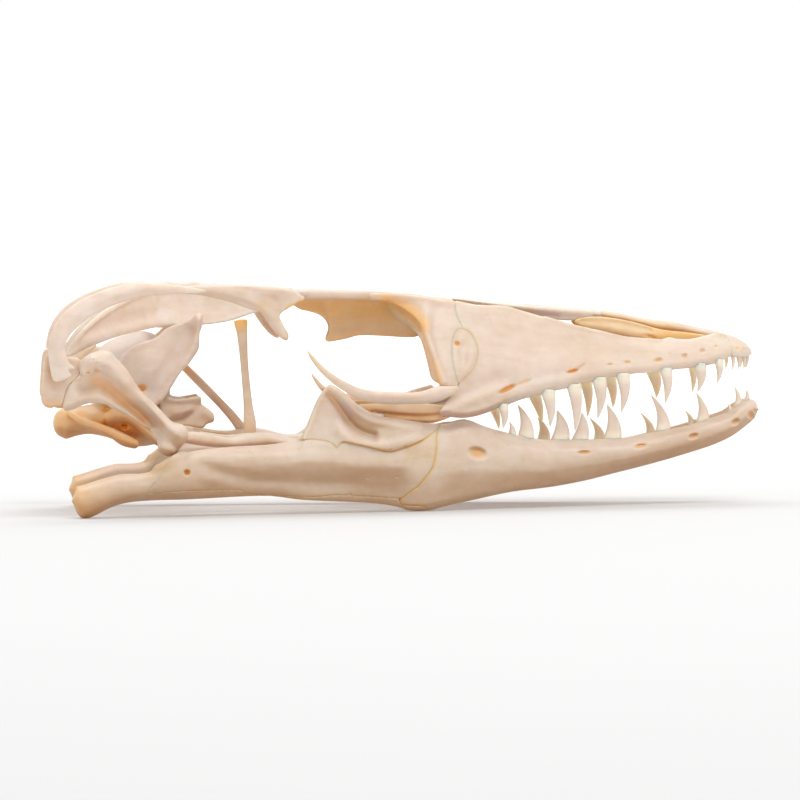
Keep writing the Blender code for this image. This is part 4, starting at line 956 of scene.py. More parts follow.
    f = Field(566, 720, 313, 346, 1.4, 5.6, 0.18)
    out = [(574, 320.6), (585, 317.0), (602, 316.6), (625, 320), (645, 325), (662, 329.4), (690, 332.6), (713, 336.4), (712, 340), (700, 342),
           (688, 343.4), (672, 343.4), (655, 345), (640, 344), (620, 340), (600, 335.5), (588, 331.0), (579, 326.4)]
    W = 2.7 + 1.5 * f.spot(614, 329.5, 44, 9, 12, 2) + 0.5 * f.spot(676, 338, 40, 6, 6, 2)
    W = W - 0.4 * f.ridge([(582, 321), (604, 321.5), (628, 324.6), (650, 330)], 0.5, 1.0) \
        - 0.5 * f.spot(650, 336.5, 6, 2.2, 20, 3)
    F = f.relief(out, W, 0.8, 0.35)
    # painted shade: the dip near the back is tinted warmer
    wv = 0.34 + 0.30 * sstep(640, 665, f.u) + 0.12 * sstep(600, 576, f.u) + 0.3 * f.spot(650, 336.5, 6, 2.4, 20, 3) + 0.12 * wobble(f.u, f.v, 14, 2)
    emit("septomaxilla", f, F, wv, keep=0.6)


# ------------------------------------------------------------------ frontal
def build_frontal():
    f = Field(286, 455, 286, 345, 0.0, 8.4, 0.2)
    we = [(289, 6.3), (304, 7.0), (320, 7.3), (346, 7.4), (368, 7.6), (392, 7.2), (416, 7.0), (436, 6.6), (449, 6.0)]
    tv = [(287, 289.8), (304, 289.4), (330, 289.8), (368, 291.2), (392, 292.4), (416, 294.6), (436, 298.0), (451, 300.4)]
    pts = [(288.4, 0.16), (288.6, 4.0), (289, 6.3), (297, 7.0), (308, 7.3), (328, 7.3), (346, 7.4), (368, 7.6), (392, 7.3),
           (416, 7.1), (436, 6.7), (447, 6.1), (451.6, 4.2), (452.4, 2.4), (451.4, 0.16)]

    def top(u, w):
        e = curve(we, u)
        return curve(tv, u) + 0.9 * np.clip(w / e, 0, 1.1) ** 3 - 0.5 * sstep(0, 3, w) * sstep(5.5, 2.5, w) \
            + 0.12 * wobble(u, w * 5, 30, 12)

    slab = f.roof([(a, b) for a, b in pts], top, 1.55, 0.5, 2)
    keel = [(290, 292), (291, 300), (296, 306), (302, 309.8), (309, 311.3), (317, 313.6), (323, 316.8), (328.3, 322.8),
            (329.3, 329), (326.8, 336), (326.6, 340.4), (330, 341.6), (346, 338.8), (359.7, 335.4), (384, 336),
            (410, 337.4), (420, 334.6), (431, 325), (441, 314), (449, 304), (448, 300), (420, 297), (380, 294), (340, 292)]
    wtop = curve([(289, 4.6), (320, 5.4), (368, 6.0), (416, 5.8), (449, 4.6)], f.u)
    wbot = curve([(289, 3.6), (304, 3.4), (330, 1.9), (346, 1.6), (392, 1.7), (416, 2.0), (449, 3.4)], f.u)
    vb = curve([(289, 305), (304, 310), (323, 318), (331, 340), (346, 339), (370, 335.5), (416, 336), (449, 306)], f.u)
    s = np.clip((f.v - 295) / np.maximum(vb - 295, 4), 0, 1)
    W = wtop + (wbot - wtop) * s ** 0.75
    W = W + 0.25 * f.ridge([(300, 309), (309, 310.5), (322, 316), (327, 323), (327.6, 330), (326, 338)], 0.6, 1.0) \
        + 0.25 * f.ridge([(330, 341), (346, 338), (360, 334.6), (384, 335), (412, 336)], 0.5, 1.0) \
        - 0.3 * f.spot(352, 316, 26, 13, 8, 2) - 0.3 * f.spot(398, 318, 16, 12, 0, 2)
    K = f.relief(keel, W, 1.0, 0.4)
    F = smin(slab, K, 1.1)
    rimt = f.tube([(294, 294, 6.6, 0.8, 0.55), (310, 294.4, 6.9, 0.8, 0.6), (338, 294.6, 7.0, 0.7, 0.6),
                   (368, 294.6, 7.2, 0.6, 0.55), (388, 295, 7.0, 0.45, 0.45)])
    F = smin(F, rimt, 0.7)
    F = np.maximum(F, (0.10 - f.Z) + 0 * F)
    # painted shade: the wall under the roof edge is tinted warmer
    warm = 0.06 + 0.50 * sstep(296, 303, f.v) * (1 - 0.45 * sstep(308, 330, f.v)) + 0.06 * wobble(f.u, f.v, 24, 6) + 0.16 * f.ridge([(330, 341), (346, 338), (360, 334.6), (412, 336)], 0.6, 1.0)
    emit("frontal", f, F, warm)


# ------------------------------------------------------------------ jugal, temporal arch
JUGAL_R = [(307.4, 349.0, 26.4, 0.10, 0.10), (309, 353.0, 26.45, 0.25, 0.22), (311.9, 357.5, 26.5, 0.40, 0.32),
           (321, 368.3, 26.5, 0.58, 0.46), (334.5, 379.8, 26.3, 0.80, 0.62), (353.5, 391.2, 25.9, 1.02, 0.78),
           (369, 396, 25.4, 1.2, 0.85), (387, 397.9, 24.7, 1.28, 0.9), (407, 398.3, 23.9, 1.22, 0.95),
           (423, 397.4, 23.3, 1.3, 0.95), (438, 393.8, 22.6, 1.5, 0.85), (449, 391.2, 21.9, 1.0, 0.65),
           (457, 388.4, 21.2, 0.5, 0.4)]
JUGAL_L = [(311.5, 372.6, 25.8, 0.10, 0.10), (313, 376, 25.85, 0.26, 0.22), (315.8, 380, 25.9, 0.40, 0.32), (323, 388.5, 25.9, 0.6, 0.5),
           (335, 395.0, 25.7, 0.8, 0.65), (352, 399.2, 25.2, 1.0, 0.75), (369, 400.0, 24.6, 1.1, 0.8),
           (389, 399.5, 23.9, 1.15, 0.85), (405, 398.0, 23.3, 1.15, 0.9), (418, 394.2, 22.7, 1.25, 0.8),
           (431.5, 388.5, 21.9, 0.85, 0.6)]


def build_jugal():
    f = Field(304, 462, 345, 408, 19, 28.5, 0.2)
    F = f.tube(JUGAL_R, 8)
    F = F + 0.10 * np.exp(-(f.line([(330, 378.5), (352, 392.4), (372, 398), (407, 400), (430, 397.6)]) / 0.45) ** 2)[..., None]
    emit("jugal", f, F, 0.08 + 0.12 * sstep(335, 310, f.u) + 0.04 * wobble(f.u, f.v, 18, 1), sides=("_r",), keep=0.5)
    # the left one is measured in the same view, so it is built at negative w
    f = Field(308, 436, 368, 404, -28, -20, 0.2)
    F = f.tube([(a, b, -c, d, e) for a, b, c, d, e in JUGAL_L], 8)
    # painted light: the far jugal, which lies in shade, is made paler (below zero)
    emit("jugal", f, F, -0.3 + 0 * f.u, sides=("_l",), keep=0.5, as_left=True)


def build_postorbital():
    f = Field(146, 308, 282, 343, 7.4, 25.6, 0.2)
    outline = [(164, 287.0), (186, 286.2), (207, 285.6), (240, 285.6), (262, 286.4), (276, 288), (287, 290.6), (297, 293.6), (304, 297),
               (303.4, 301), (296, 304.2), (287.4, 308.8), (281.4, 312.9), (279.4, 316.4), (280.2, 321), (284, 327.3), (287.4, 332),
               (288.7, 336.4), (287.1, 340.4), (284, 340), (279, 336.6), (274.6, 332), (269.6, 325.6), (265.4, 319.4), (261, 312.8),
               (257, 310.8), (252, 309.9), (241, 306), (230.4, 302.2), (216, 298.6), (201.7, 295.4), (184, 293.6), (164, 291.6)]
    Wb = curve([(150, 24.5), (170, 24.0), (190, 23.2), (215, 22.3), (240, 20.9), (262, 19.6), (285, 18.7), (305, 16.4)], f.u)
    ridge = [(150, 288.6), (180, 288.4), (207, 289.6), (225, 292.6), (242, 297.4), (256, 303.2), (266, 309.6), (274, 320), (284.6, 335)]
    W = Wb + f.ridge(ridge, 0.9, 0.75) - 0.35 * sstep(300, 292, f.v) * sstep(240, 262, f.u)
    W = W - 0.35 * f.spot(250, 305, 8, 3.2, 22, 2) - 0.2 * f.spot(272, 300, 12, 5, 20, 2)
    W = W - 0.6 * np.clip((f.v - 312) / 28, 0, 1) * sstep(276, 284, f.u)
    th = 0.9 + 0.8 * sstep(205, 260, f.u)
    F = f.relief(outline, W, th, 0.45)
    core = f.tube([(158, 289.4, 24.0, 0.35, 0.4), (185, 289.6, 23.2, 0.62, 0.6), (207, 290.6, 22.3, 0.8, 0.7), (232, 294, 21.0, 1.1, 0.85),
                   (252, 299, 19.6, 1.5, 0.9), (268, 306, 18.8, 1.5, 0.95), (272, 316, 18.9, 1.15, 0.95),
                   (279.4, 328, 19.1, 1.0, 0.85), (285.4, 337, 19.2, 0.5, 0.45)])
    F = smin(F, core, 0.5)
    pts = [(263, 8.4), (268, 7.0), (276, 6.75), (286, 6.7), (292, 7.1), (303, 7.75), (306.5, 8.4), (305, 11), (300, 14.6), (291, 17.4),
           (276, 19.2), (258, 19.9), (250, 19.2), (254, 16.5), (259, 12.5)]

    def top(u, w):
        return 287.6 + 0.07 * np.clip(u - 262, 0, 60) + 1.3 * ((w - 12.5) / 6) ** 2 * 0.4 + 0.1 * wobble(u, w * 5, 22, 3)

    F = smin(F, f.roof(pts, top, 1.35, 0.5, 3), 0.8)
    warm = 0.05 + 0.5 * f.ridge([(287, 308.2), (297, 303.2), (306, 299.4)], 0.35, 1.0) + 0.10 * sstep(240, 262, f.u) * sstep(292, 304, f.v) \
        + 0.10 * f.spot(262, 304, 9, 6, 20, 2) + 0.05 * wobble(f.u, f.v, 18, 7)
    emit("postorbitofrontal", f, F, warm)


SQUAMOSAL = [(205, 291.0, 24.4, 0.25, 0.25), (190, 290.4, 25.1, 0.7, 0.45), (172, 289.8, 25.9, 0.95, 0.6),
             (150, 289.8, 26.7, 1.3, 0.75), (130, 291.4, 27.2, 1.6, 0.9), (113, 296.2, 27.6, 1.75, 1.0),
             (98, 302.2, 27.9, 1.85, 1.0), (84, 309.4, 28.1, 1.95, 1.0), (71.5, 319.4, 28.3, 2.0, 1.0),
             (62.5, 330.5, 28.4, 1.85, 1.0), (57.4, 343, 28.5, 1.7, 0.95), (57, 355, 28.4, 1.75, 0.9),
             (60.5, 366, 28.2, 1.75, 0.8), (62.5, 376, 28.0, 1.3, 0.6)]


def build_squamosal():
    f = Field(44, 210, 278, 384, 23, 30.4, 0.2)
    F = f.tube(SQUAMOSAL, 6)
    # crest on the outer face, hook and lobe at the lower end
    F = F - 0.22 * np.exp(-(f.line([(178, 288), (150, 288.6), (122, 293), (98, 301.4), (80, 312), (66, 327), (59, 345), (60, 362)]) / 0.8) ** 2)[..., None]
    hook = f.tube([(58, 361, 28.2, 1.1, 0.8), (66, 365, 28.2, 0.75, 0.6), (73.4, 368.2, 28.1, 0.3, 0.3)])
    lobe = f.relief([(51, 358), (50.4, 368), (52.8, 380), (59, 381.6), (66.6, 378.4), (71.7, 374.8), (66, 371), (62, 360)],
                    28.6 + 0 * f.u, 1.1, 0.45)
    F = smin(smin(F, hook, 0.5), lobe, 0.7)
    F = F + 0.12 * np.exp(-(f.line([(190, 292), (150, 293.4), (120, 298.6), (96, 307), (78, 319), (68, 334), (62, 352)]) / 0.6) ** 2)[..., None]
    # painted light: the arch, shaded on its underside, is made paler (below zero); its lower end gets less of it
    warm = -0.45 + 0.05 * wobble(f.u, f.v, 24, 11) + 0.2 * sstep(368, 380, f.v)
    emit("squamosal", f, F, warm)

    f = Field(38, 100, 340, 412, 20.6, 28.4, 0.2)
    out = [(50, 352.6), (45.4, 355.6), (43.4, 363), (42, 381), (40.9, 396), (42, 403), (46, 407.2), (51.3, 408), (57, 406.2),
           (62.6, 405.2), (65, 398), (68.7, 386), (76, 379), (81, 372), (82.5, 363), (78, 358), (66, 356.4), (57, 353)]
    W = 26.7 - 0.02 * np.clip(f.u - 60, 0, 20) - 0.35 * f.spot(57, 372, 7, 13, 10, 2) + 0.5 * f.spot(50.5, 391, 4.5, 7, 5, 2) \
        + 0.2 * f.ridge([(45, 357), (43.6, 372), (42.6, 390)], 0.6, 1.0)
    F = f.relief(out, W, 1.3, 0.5)
    arm = f.tube([(95, 345.6, 21.7, 0.3, 0.3), (80, 356, 24.0, 0.8, 0.45), (68, 365, 25.4, 1.5, 0.55), (60, 374, 26.0, 1.6, 0.6)])
    F = smin(F, arm, 0.6)
    warm = 0.16 + 0.3 * f.spot(57, 372, 7, 12, 10, 2) + 0.3 * sstep(398, 408, f.v) - 0.1 * f.spot(50.5, 391, 4.5, 7, 5, 2)
    emit("supratemporal", f, F, warm)


# ------------------------------------------------------------------ parietal
def build_parietal():
    f = Field(62, 290, 278, 362, -27, 27, 0.25)
    rows = [(287, 287.4, 288.4, 6.0, 296, 6.0), (268, 285.6, 286.6, 6.6, 304, 6.6), (248, 284.6, 285.8, 6.6, 314, 7.4),
            (224, 284.3, 285.8, 5.8, 321, 7.8), (202, 284.0, 286.0, 5.0, 323.6, 7.6), (180, 283.2, 285.8, 5.4, 324.5, 7.6),
            (163, 283.2, 286.8, 6.8, 324.6, 8.6)]

    def half(g):
        def col(i):
            return [(r[0], r[i]) for r in rows]
        uw = [(287.4, -0.5), (287.4, 5.4), (284, 6.2), (268, 6.7), (248, 6.7), (224, 5.9), (202, 5.1), (182, 5.4), (168, 6.6),
              (160, 7.6), (157, 6.0), (158.6, 3.0), (161, 1.2), (161.6, -0.5)]

        def top(u, w):
            return curve(col(1), u) + 1.1 * np.clip(w / curve(col(3), u), 0, 1.2) ** 3 \
                + 0.35 * np.exp(-(w / 0.8) ** 2) * sstep(280, 230, u) + 0.1 * wobble(u, w * 5, 26, 13)

        slab = g.roof(uw, top, 1.5, 0.5, 2)
        wall = [(286.6, 290), (286.4, 296), (276, 302.6), (266, 307.6), (257, 312), (247.6, 315), (232, 320.4), (219, 323),
                (202.8, 324.8), (184, 325.6), (166, 326), (156, 326.2), (152, 318), (156, 304), (160, 292), (180, 288), (220, 287.4), (260, 288)]
        s = np.clip((g.v - curve(col(2), g.u)) / np.maximum(curve(col(4), g.u) - curve(col(2), g.u), 3), 0, 1)
        W = curve(col(3), g.u) * (1 - s) + curve(col(5), g.u) * s - 0.5 * np.sin(math.pi * s) \
            + 0.25 * g.ridge([(276, 301.5), (257, 311), (240, 317), (219, 322), (190, 324), (164, 325)], 0.5, 1.0)
        side = g.relief(wall, W, 1.0, 0.4)
        arm = g.relief([(200, 285.2), (184, 284.6), (170, 284.4), (158, 285.2), (148, 288), (128, 297), (104, 312), (84, 329), (72, 343), (66.4, 354.5), (70.5, 359.8),
                        (78, 353), (86, 348.4), (97, 343.8), (112, 337), (126, 332), (144, 328.4), (160, 326), (176, 324.8), (198, 323.6)],
                       curve([(66, 24.8), (77, 23.2), (96, 19.6), (120, 15.6), (150, 10.4), (163, 8.6), (176, 7.4)], g.u) * (1 - sstep(146, 178, g.u))
                       + (W - 0.15) * sstep(146, 178, g.u)
                       + g.ridge([(66, 355), (76, 345.6), (96, 337.6), (112, 331.6), (130, 326.8), (150, 322), (170, 319)], 0.95, 0.5)
                       - g.ridge([(70, 344), (84, 331.6), (104, 323), (132, 316), (156, 310)], 1.0, 0.35),
                       1.25, 0.5)
        band = g.tube([(68.5, 355, 24.4, 0.55, 0.5), (78, 346.4, 22.6, 0.85, 0.6), (96, 339, 19.2, 0.95, 0.7), (120, 331, 15.2, 0.95, 0.7),
                       (150, 324, 10.2, 0.9, 0.7), (172, 321.5, 7.2, 0.7, 0.6)])
        crest = g.tube([(70, 349, 24.2, 0.4, 0.4), (84, 331, 21.8, 0.5, 0.5), (104, 313.6, 18.2, 0.6, 0.55), (128, 299.4, 14.0, 0.7, 0.6),
                        (150, 289.4, 9.6, 0.8, 0.7), (170, 286, 6.4, 0.8, 0.7)])
        return smin(smin(smin(slab, side, 0.8), smin(arm, band, 0.5), 0.9), crest, 0.5)

    F = symmetric(f, half)
    # painted light: the parietal is made paler (below zero), most on the side walls below the table, which lie in
    # shade; painted shade: the groove along the arm is tinted warmer
    warm = -0.18 - 0.34 * sstep(292, 300, f.v) + 0.05 * sstep(150, 110, f.u) + 0.05 * wobble(f.u, f.v, 22, 14) \
        + 0.18 * f.ridge([(70, 344), (84, 331.6), (104, 323), (132, 316), (156, 310)], 1.2, 1.0)
    emit_mid("parietal", f, F, warm, keep=0.46)


# ------------------------------------------------------------------ quadrate
def build_quadrate():
    f = Field(58, 191, 347, 459, 23.4, 30.2, 0.2)
    out = [(80.9, 372.8), (84.5, 363.6), (89.6, 356.4), (97.2, 351.8), (107.4, 351.2), (111.7, 352.6), (116, 358), (125, 367.3),
           (133, 379), (141.5, 391.4), (155, 404), (168, 418), (174.7, 423), (182, 425.4), (186.3, 429.5), (187, 435.3),
           (183, 443.6), (179.7, 447.7), (173, 454.2), (166.4, 455), (159.4, 450.4), (158.6, 444.7), (155.3, 437), (148, 430),
           (139.6, 424), (126.3, 415.4), (113, 409.2), (106.4, 404.6), (96.4, 402.8), (84.8, 404.4), (75, 408.7), (66, 411),
           (62.6, 407), (64.6, 396), (68.7, 386), (72.5, 382.4), (79, 380)]
    shaft = [(92, 361), (106, 363), (115, 371), (125, 382), (134, 392), (150, 408), (165, 423), (177, 433)]
    trough = [(84, 388), (100, 383), (112, 390), (126, 401), (141, 414), (152, 427)]
    W = 26.9 + f.ridge(shaft, 1.6, 2.3) - f.ridge(trough, 1.5, 1.6) + 0.5 * f.ridge([(70, 404), (84, 398), (98, 397), (112, 403), (128, 413), (146, 427)], 0.8, 1.0)
    W = W + 0.7 * f.spot(92, 362, 12, 9, -20, 3) + (0.5 * wobble(f.u, f.v, 6, 15) + 0.3 * wobble(f.u, f.v, 3.6, 33)) * f.spot(90, 366, 14, 11, 0, 4) \
        + 0.7 * f.spot(173, 438, 12, 12, 0, 4) + 0.05 * wobble(f.u, f.v, 14, 16)
    th = 1.3 + f.ridge(shaft, 2.0, 1.9) + 1.2 * f.spot(173, 440, 13, 13, 0, 4)
    F = f.relief(out, W, th, 0.75)
    cond = smin(f.blob(177, 436, 27.4, 2.0, 2.3, 2.0, 35), f.blob(168, 447.6, 27.0, 2.0, 1.5, 1.9, 25), 0.9)
    head = smin(f.blob(97, 359.6, 27.2, 2.8, 1.5, 1.9, -12), f.blob(87, 367, 27.2, 1.7, 1.9, 1.7, 0), 0.8)
    F = smin(smin(F, cond, 1.0), head, 0.8)
    # painted shade: the trough beside the shaft and the two pits in the head are tinted warmer
    warm = 0.06 + 0.34 * f.ridge([(96, 382), (112, 391), (128, 403), (146, 419)], 1.2, 1.0) + 0.15 * sstep(72, 62, f.u) \
        + 0.35 * f.spot(97, 371, 3.2, 2.2, 30, 4) + 0.3 * f.spot(88, 372.5, 2.4, 1.6, 0, 4) + 0.05 * wobble(f.u, f.v, 15, 17)
    F = F + (0.5 * f.spot(97, 371, 2.6, 1.7, 30, 4) + 0.4 * f.spot(88, 372.5, 2.0, 1.3, 0, 4))[..., None] * sstep(26.6, 27.6, f.Z)
    emit("quadrate", f, F, warm)


# ------------------------------------------------------------------ palate and epipterygoid
def build_palate():
    f = Field(172, 412, 402, 450, 8.0, 24, 0.22)
    F = f.tube([(176, 438, 22.4, 0.6, 0.5), (190, 437.6, 20.2, 1.25, 0.7), (210, 440.6, 17.4, 1.25, 0.8), (232, 443, 14.9, 1.1, 1.1),
                (250, 440.5, 13.2, 1.7, 1.5), (268, 440.0, 12.2, 1.5, 1.7), (292, 443.4, 11.6, 1.1, 2.0), (318, 440.6, 11.4, 1.1, 2.3),
                (344, 431, 11.6, 1.2, 2.5), (370, 420, 12.0, 1.2, 2.4), (392, 413.5, 12.3, 1.0, 1.8), (408, 410.5, 12.4, 0.5, 1.0)], 6)
    F = smin(F, f.tube([(200, 433.2, 16.6, 0.4, 0.35), (225, 436.8, 13.9, 0.45, 0.35), (245, 437, 12.9, 0.7, 0.5)]), 0.6)
    F = smin(F, f.tube([(380, 416, 12.6, 0.5, 0.7), (388, 414, 13.4, 0.4, 0.5)]), 0.6)
    # painted light: the pterygoid, deep in shade between the jaws, is made paler (below zero)
    emit("pterygoid", f, F, -0.80 + 0.05 * wobble(f.u, f.v, 20, 18), keep=0.42)

    f = Field(231, 258, 316, 438, 8.6, 14.4, 0.18)
    F = f.tube([(240.6, 321, 9.5, 1.45, 0.35), (241.6, 330, 9.7, 1.15, 0.45), (242.4, 337, 9.9, 1.02, 0.55), (244, 360, 10.5, 0.8, 0.65),
                (246, 383, 11.2, 0.8, 0.65), (248.2, 406, 12.2, 0.92, 0.65), (249.6, 422, 12.8, 1.25, 0.72),
                (250, 433.6, 13.1, 1.25, 0.7)], 6)
    F = F + 0.10 * np.exp(-(f.line([(243, 345), (246, 385), (249, 415)]) / 0.3) ** 2)[..., None]
    # painted shade: the upper end, under the parietal, is tinted warmer
    warm = 0.14 + 0.5 * sstep(338, 322, f.v) + 0.16 * sstep(415, 430, f.v)
    emit("epipterygoid", f, F, warm, sides=("_r",), keep=0.5)
    f = Field(175, 250, 357, 440, -14.6, -11, 0.18)
    F = f.tube([(179.6, 362, -12.2, 0.75, 0.4), (190, 372.5, -12.4, 0.82, 0.55), (200, 382.5, -12.6, 0.85, 0.6), (222, 405, -13.0, 0.85, 0.6),
                (234, 418.5, -13.2, 0.95, 0.6), (241.5, 429, -13.3, 1.0, 0.55), (244, 433, -13.3, 0.8, 0.5)], 6)
    # painted shade: the upper end of the far strut is tinted warmer
    emit("epipterygoid", f, F, 0.10 + 0.4 * sstep(380, 362, f.v), sides=("_l",), keep=0.5, as_left=True)

    for name, rows, w in (("ectopterygoid", [(360, 406.6, 12.7, 0.5, 0.4), (376, 408.8, 13.5, 1.15, 0.55), (392, 411.0, 14.6, 1.65, 0.65), (405, 412.4, 15.7, 1.95, 0.7),
                                             (418, 413.2, 16.9, 2.1, 0.75), (430, 413.4, 18.0, 2.0, 0.7), (441, 412.4, 18.6, 1.65, 0.6), (452, 410.6, 19.0, 1.1, 0.5), (459, 408.8, 19.2, 0.6, 0.4)], 0.28),
                          ("palatine", [(417, 405.5, 11.4, 0.45, 1.8), (426, 402.8, 11.5, 0.7, 2.5), (436, 400, 11.6, 0.8, 2.9),
                                        (456, 395, 11.4, 0.8, 3.0), (474, 390, 10.2, 0.6, 2.2), (484.5, 387.3, 9.2, 0.35, 1.1)], 0.05),
                          ("vomer", [(489, 386.2, 3.4, 0.35, 0.8), (505, 383, 3.3, 0.6, 1.3), (520, 380, 3.2, 0.7, 1.6), (560, 371, 2.7, 0.7, 1.35),
                                     (620, 359, 2.1, 0.6, 1.15), (670, 351, 1.8, 0.5, 0.95), (705, 347.3, 1.4, 0.3, 0.55)], 0.08)):
        us, vs, ws = [r[0] for r in rows], [r[1] for r in rows], [r[2] for r in rows]
        f = Field(min(us) - 6, max(us) + 6, min(vs) - 8, max(vs) + 8, min(ws) - 3.4, max(ws) + 3.4, 0.22)
        F = f.tube(rows, 6)
        if name == "ectopterygoid":
            F = F + 0.42 * np.exp(-(f.line([(374, 412.5), (400, 415.4), (424, 416.4), (446, 414.6)]) / 0.4) ** 2)[..., None]
            # painted shade: the groove along the ectopterygoid is tinted warmer
            w = w + 0.2 * f.ridge([(374, 412.5), (400, 415.4), (424, 416.4), (446, 414.6)], 0.6, 1.0)
        emit(name, f, F, w + 0.08 * wobble(f.u, f.v, 20, 19), keep=0.42)


# ------------------------------------------------------------------ braincase
def build_braincase():
    f = Field(52, 219, 308, 452, -26, 26, 0.25)

    def half(g):
        def ell(rows):
            t = curve([(r[0], r[1]) for r in rows], g.u)
            b = curve([(r[0], r[2]) for r in rows], g.u)
            hw = curve([(r[0], r[3]) for r in rows], g.u)
            cv, rv = (t + b) / 2, (b - t) / 2 * 0.2
            q = (g.v - cv) * 0.2
            k0 = np.sqrt(((q / rv) ** 2)[..., None] + (g.Z / hw[..., None]) ** 2)
            k1 = np.sqrt(((q / rv ** 2) ** 2)[..., None] + (g.Z / hw[..., None] ** 2) ** 2) + 1e-6
            d = k0 * (k0 - 1) / k1
            e = np.maximum(rows[0][0] - g.u, g.u - rows[-1][0]) * 0.2
            return smax(d, e[..., None] + 0 * d, 0.6)
        base = ell([(59, 413, 431, 2.0), (66, 408, 438.5, 4.0), (76, 407, 436, 4.8), (88, 405, 434, 7.0), (106, 403, 437, 8.6),
                    (124, 401, 443.5, 9.4), (138, 399, 446.5, 9.0), (156, 397, 444, 7.4), (172, 396, 434, 4.8), (188, 398, 417, 3.2),
                    (200, 399, 406, 2.0)])
        vault = ell([(94, 356, 414, 5.5), (104, 344, 424, 8.4), (124, 335, 428, 10.0), (142, 331, 424, 10.2), (158, 336, 416, 9.8),
                     (170, 350, 404, 8.4)])
        F = smin(base, vault, 1.0)
        wing = [(203.2, 317.6), (202, 314.0), (198.6, 312.8), (195.0, 314.6), (191.6, 318.6), (184, 321.8), (174, 325), (166, 328.4), (161, 333),
                (154, 338.6), (147, 341), (138, 344), (128, 350), (121, 359), (118, 376), (122, 398), (134, 408), (150, 408),
                (160, 403), (167.2, 394), (174, 383), (181, 372), (188, 365), (197.6, 351.2), (199.4, 344.3), (199.6, 334), (202.2, 326)]
        W = curve([(118, 9.2), (132, 9.9), (150, 10.6), (168, 10.2), (184, 9.8), (202, 9.4)], g.u) \
            + 0.9 * g.spot(146, 362, 16, 20, 20, 2) - 1.0 * g.ridge([(186, 330), (180, 348), (168, 368), (156, 392)], 1.6, 1.0) \
            + 0.7 * g.ridge([(199, 320), (196, 342), (184, 362), (170, 382), (160, 398)], 0.8, 1.0) \
            + 0.9 * g.spot(198.6, 319.2, 5.0, 6.5, 0, 2) - 0.9 * g.spot(141, 388, 8, 7, 0, 3) + 0.08 * wobble(g.u, g.v, 12, 20)
        F = smin(F, g.relief(wing, W, 1.5, 0.5), 0.7)
        par = g.tube([(116, 384, 8.0, 3.2, 1.8), (98, 386, 13.0, 2.5, 1.4), (80, 392, 18.5, 2.1, 1.2), (64, 399, 22.6, 1.9, 1.0),
                      (54.5, 401.4, 24.3, 1.3, 0.7)])
        F = smin(F, par, 1.0)
        bp = g.tube([(174, 412, 2.6, 2.0, 1.3), (186, 413, 5.6, 1.8, 1.3), (197, 416.5, 7.6, 1.7, 1.0)])
        F = smin(F, bp, 0.9)
        leaf = g.relief([(160, 398), (167, 395.6), (171.4, 398.2), (180.5, 398.8), (193, 396.8), (199.6, 396.0), (201.2, 398.8), (201.8, 404.2),
                         (207.8, 408.4), (212.8, 412.8), (214.4, 418), (213.0, 422), (207, 424), (203, 428), (196, 427.6), (186, 425.6),
                         (172, 426), (162, 422)],
                        8.9 + 0.03 * (g.u - 190) + 0.4 * g.ridge([(168, 398), (181, 400.6), (199, 398.6)], 0.9, 1.0)
                        + 0.45 * g.ridge([(176, 411), (190, 410), (204, 411), (212, 418)], 1.1, 1.0)
                        - 0.7 * g.ridge([(203, 405), (190, 415), (184, 419.8), (172, 422.4)], 0.8, 1.0)
                        - 0.35 * g.ridge([(166, 402), (180, 405), (198, 403.4)], 1.0, 1.0), 1.3, 0.4)
        F = smin(F, leaf, 0.5)
        # basal tubera with the ridge that leads to them, and the knob above
        F = smin(F, g.tube([(69, 413, 4.6, 0.7, 0.7), (83, 422.3, 7.0, 0.8, 0.8), (97, 427, 8.8, 0.9, 0.9), (112, 433, 9.7, 1.0, 1.0),
                            (124, 440, 9.6, 1.2, 1.2), (134, 443.6, 8.6, 1.0, 1.2)]), 0.8)
        F = smin(F, g.tube([(110, 417, 9.0, 1.4, 1.2), (120, 414, 9.8, 1.5, 1.3), (132, 419, 9.8, 1.0, 1.0), (146, 431, 9.2, 0.9, 0.9),
                            (157, 442, 8.0, 0.7, 0.8)]), 0.7)
        cond = g.blob(64, 423, 0, 2.2, 2.9, 3.4)
        F = smin(F, cond, 0.7)
        # canal through the braincase from the occiput to the front
        hollow = ell([(56, 376, 398, 3.0), (98, 362, 400, 4.6), (130, 350, 398, 6.8), (160, 350, 394, 6.8), (204, 340, 388, 6.0)])
        F = smax(F, -hollow, 0.6)
        for a, b, w, r in ((105, 408.5, 9.4, 1.0), (124.5, 427, 10.6, 0.95), (136, 434.6, 10.2, 0.6), (128, 402, 10.6, 1.0),
                           (142, 388, 11.4, 1.1), (116, 396, 10.2, 0.8)):
            F = smax(F, -g.blob(a, b, w, r, r * 0.8, 2.6), 0.22)
        return F.astype(np.float32)

    F = symmetric(f, half)
    warm = 0.09 + 0.06 * wobble(f.u, f.v, 18, 21)
    # painted shade: the holes in the braincase are tinted warmer
    for a, b, r in ((105, 408.5, 7), (124.5, 427, 7), (136, 435, 5), (128, 402, 7), (142, 388, 9), (116, 396, 6)):
        warm = warm + 0.42 * f.spot(a, b, r * 0.85, r * 0.7, 0, 2)
    # painted shade: the low back and the underside in front are tinted warmer
    warm = warm + 0.40 * sstep(400, 412, f.v) * sstep(160, 140, f.u) + 0.10 * sstep(392, 402, f.v) * sstep(160, 172, f.u)
    # painted light: the prootic face, the knob above it and the leaf below are made paler; painted shade: the hole at
    # (142, 388) is tinted warmer still
    warm = warm - 0.62 * f.spot(156, 362, 34, 30, -35, 2) - 0.12 * f.spot(199, 320, 6, 8, 0, 2) + 0.2 * f.spot(142, 388, 14, 9, 0, 3) - 0.1 * f.spot(190, 410, 26, 10, 0, 2)
    emit_mid("braincase", f, F, warm, keep=0.42)


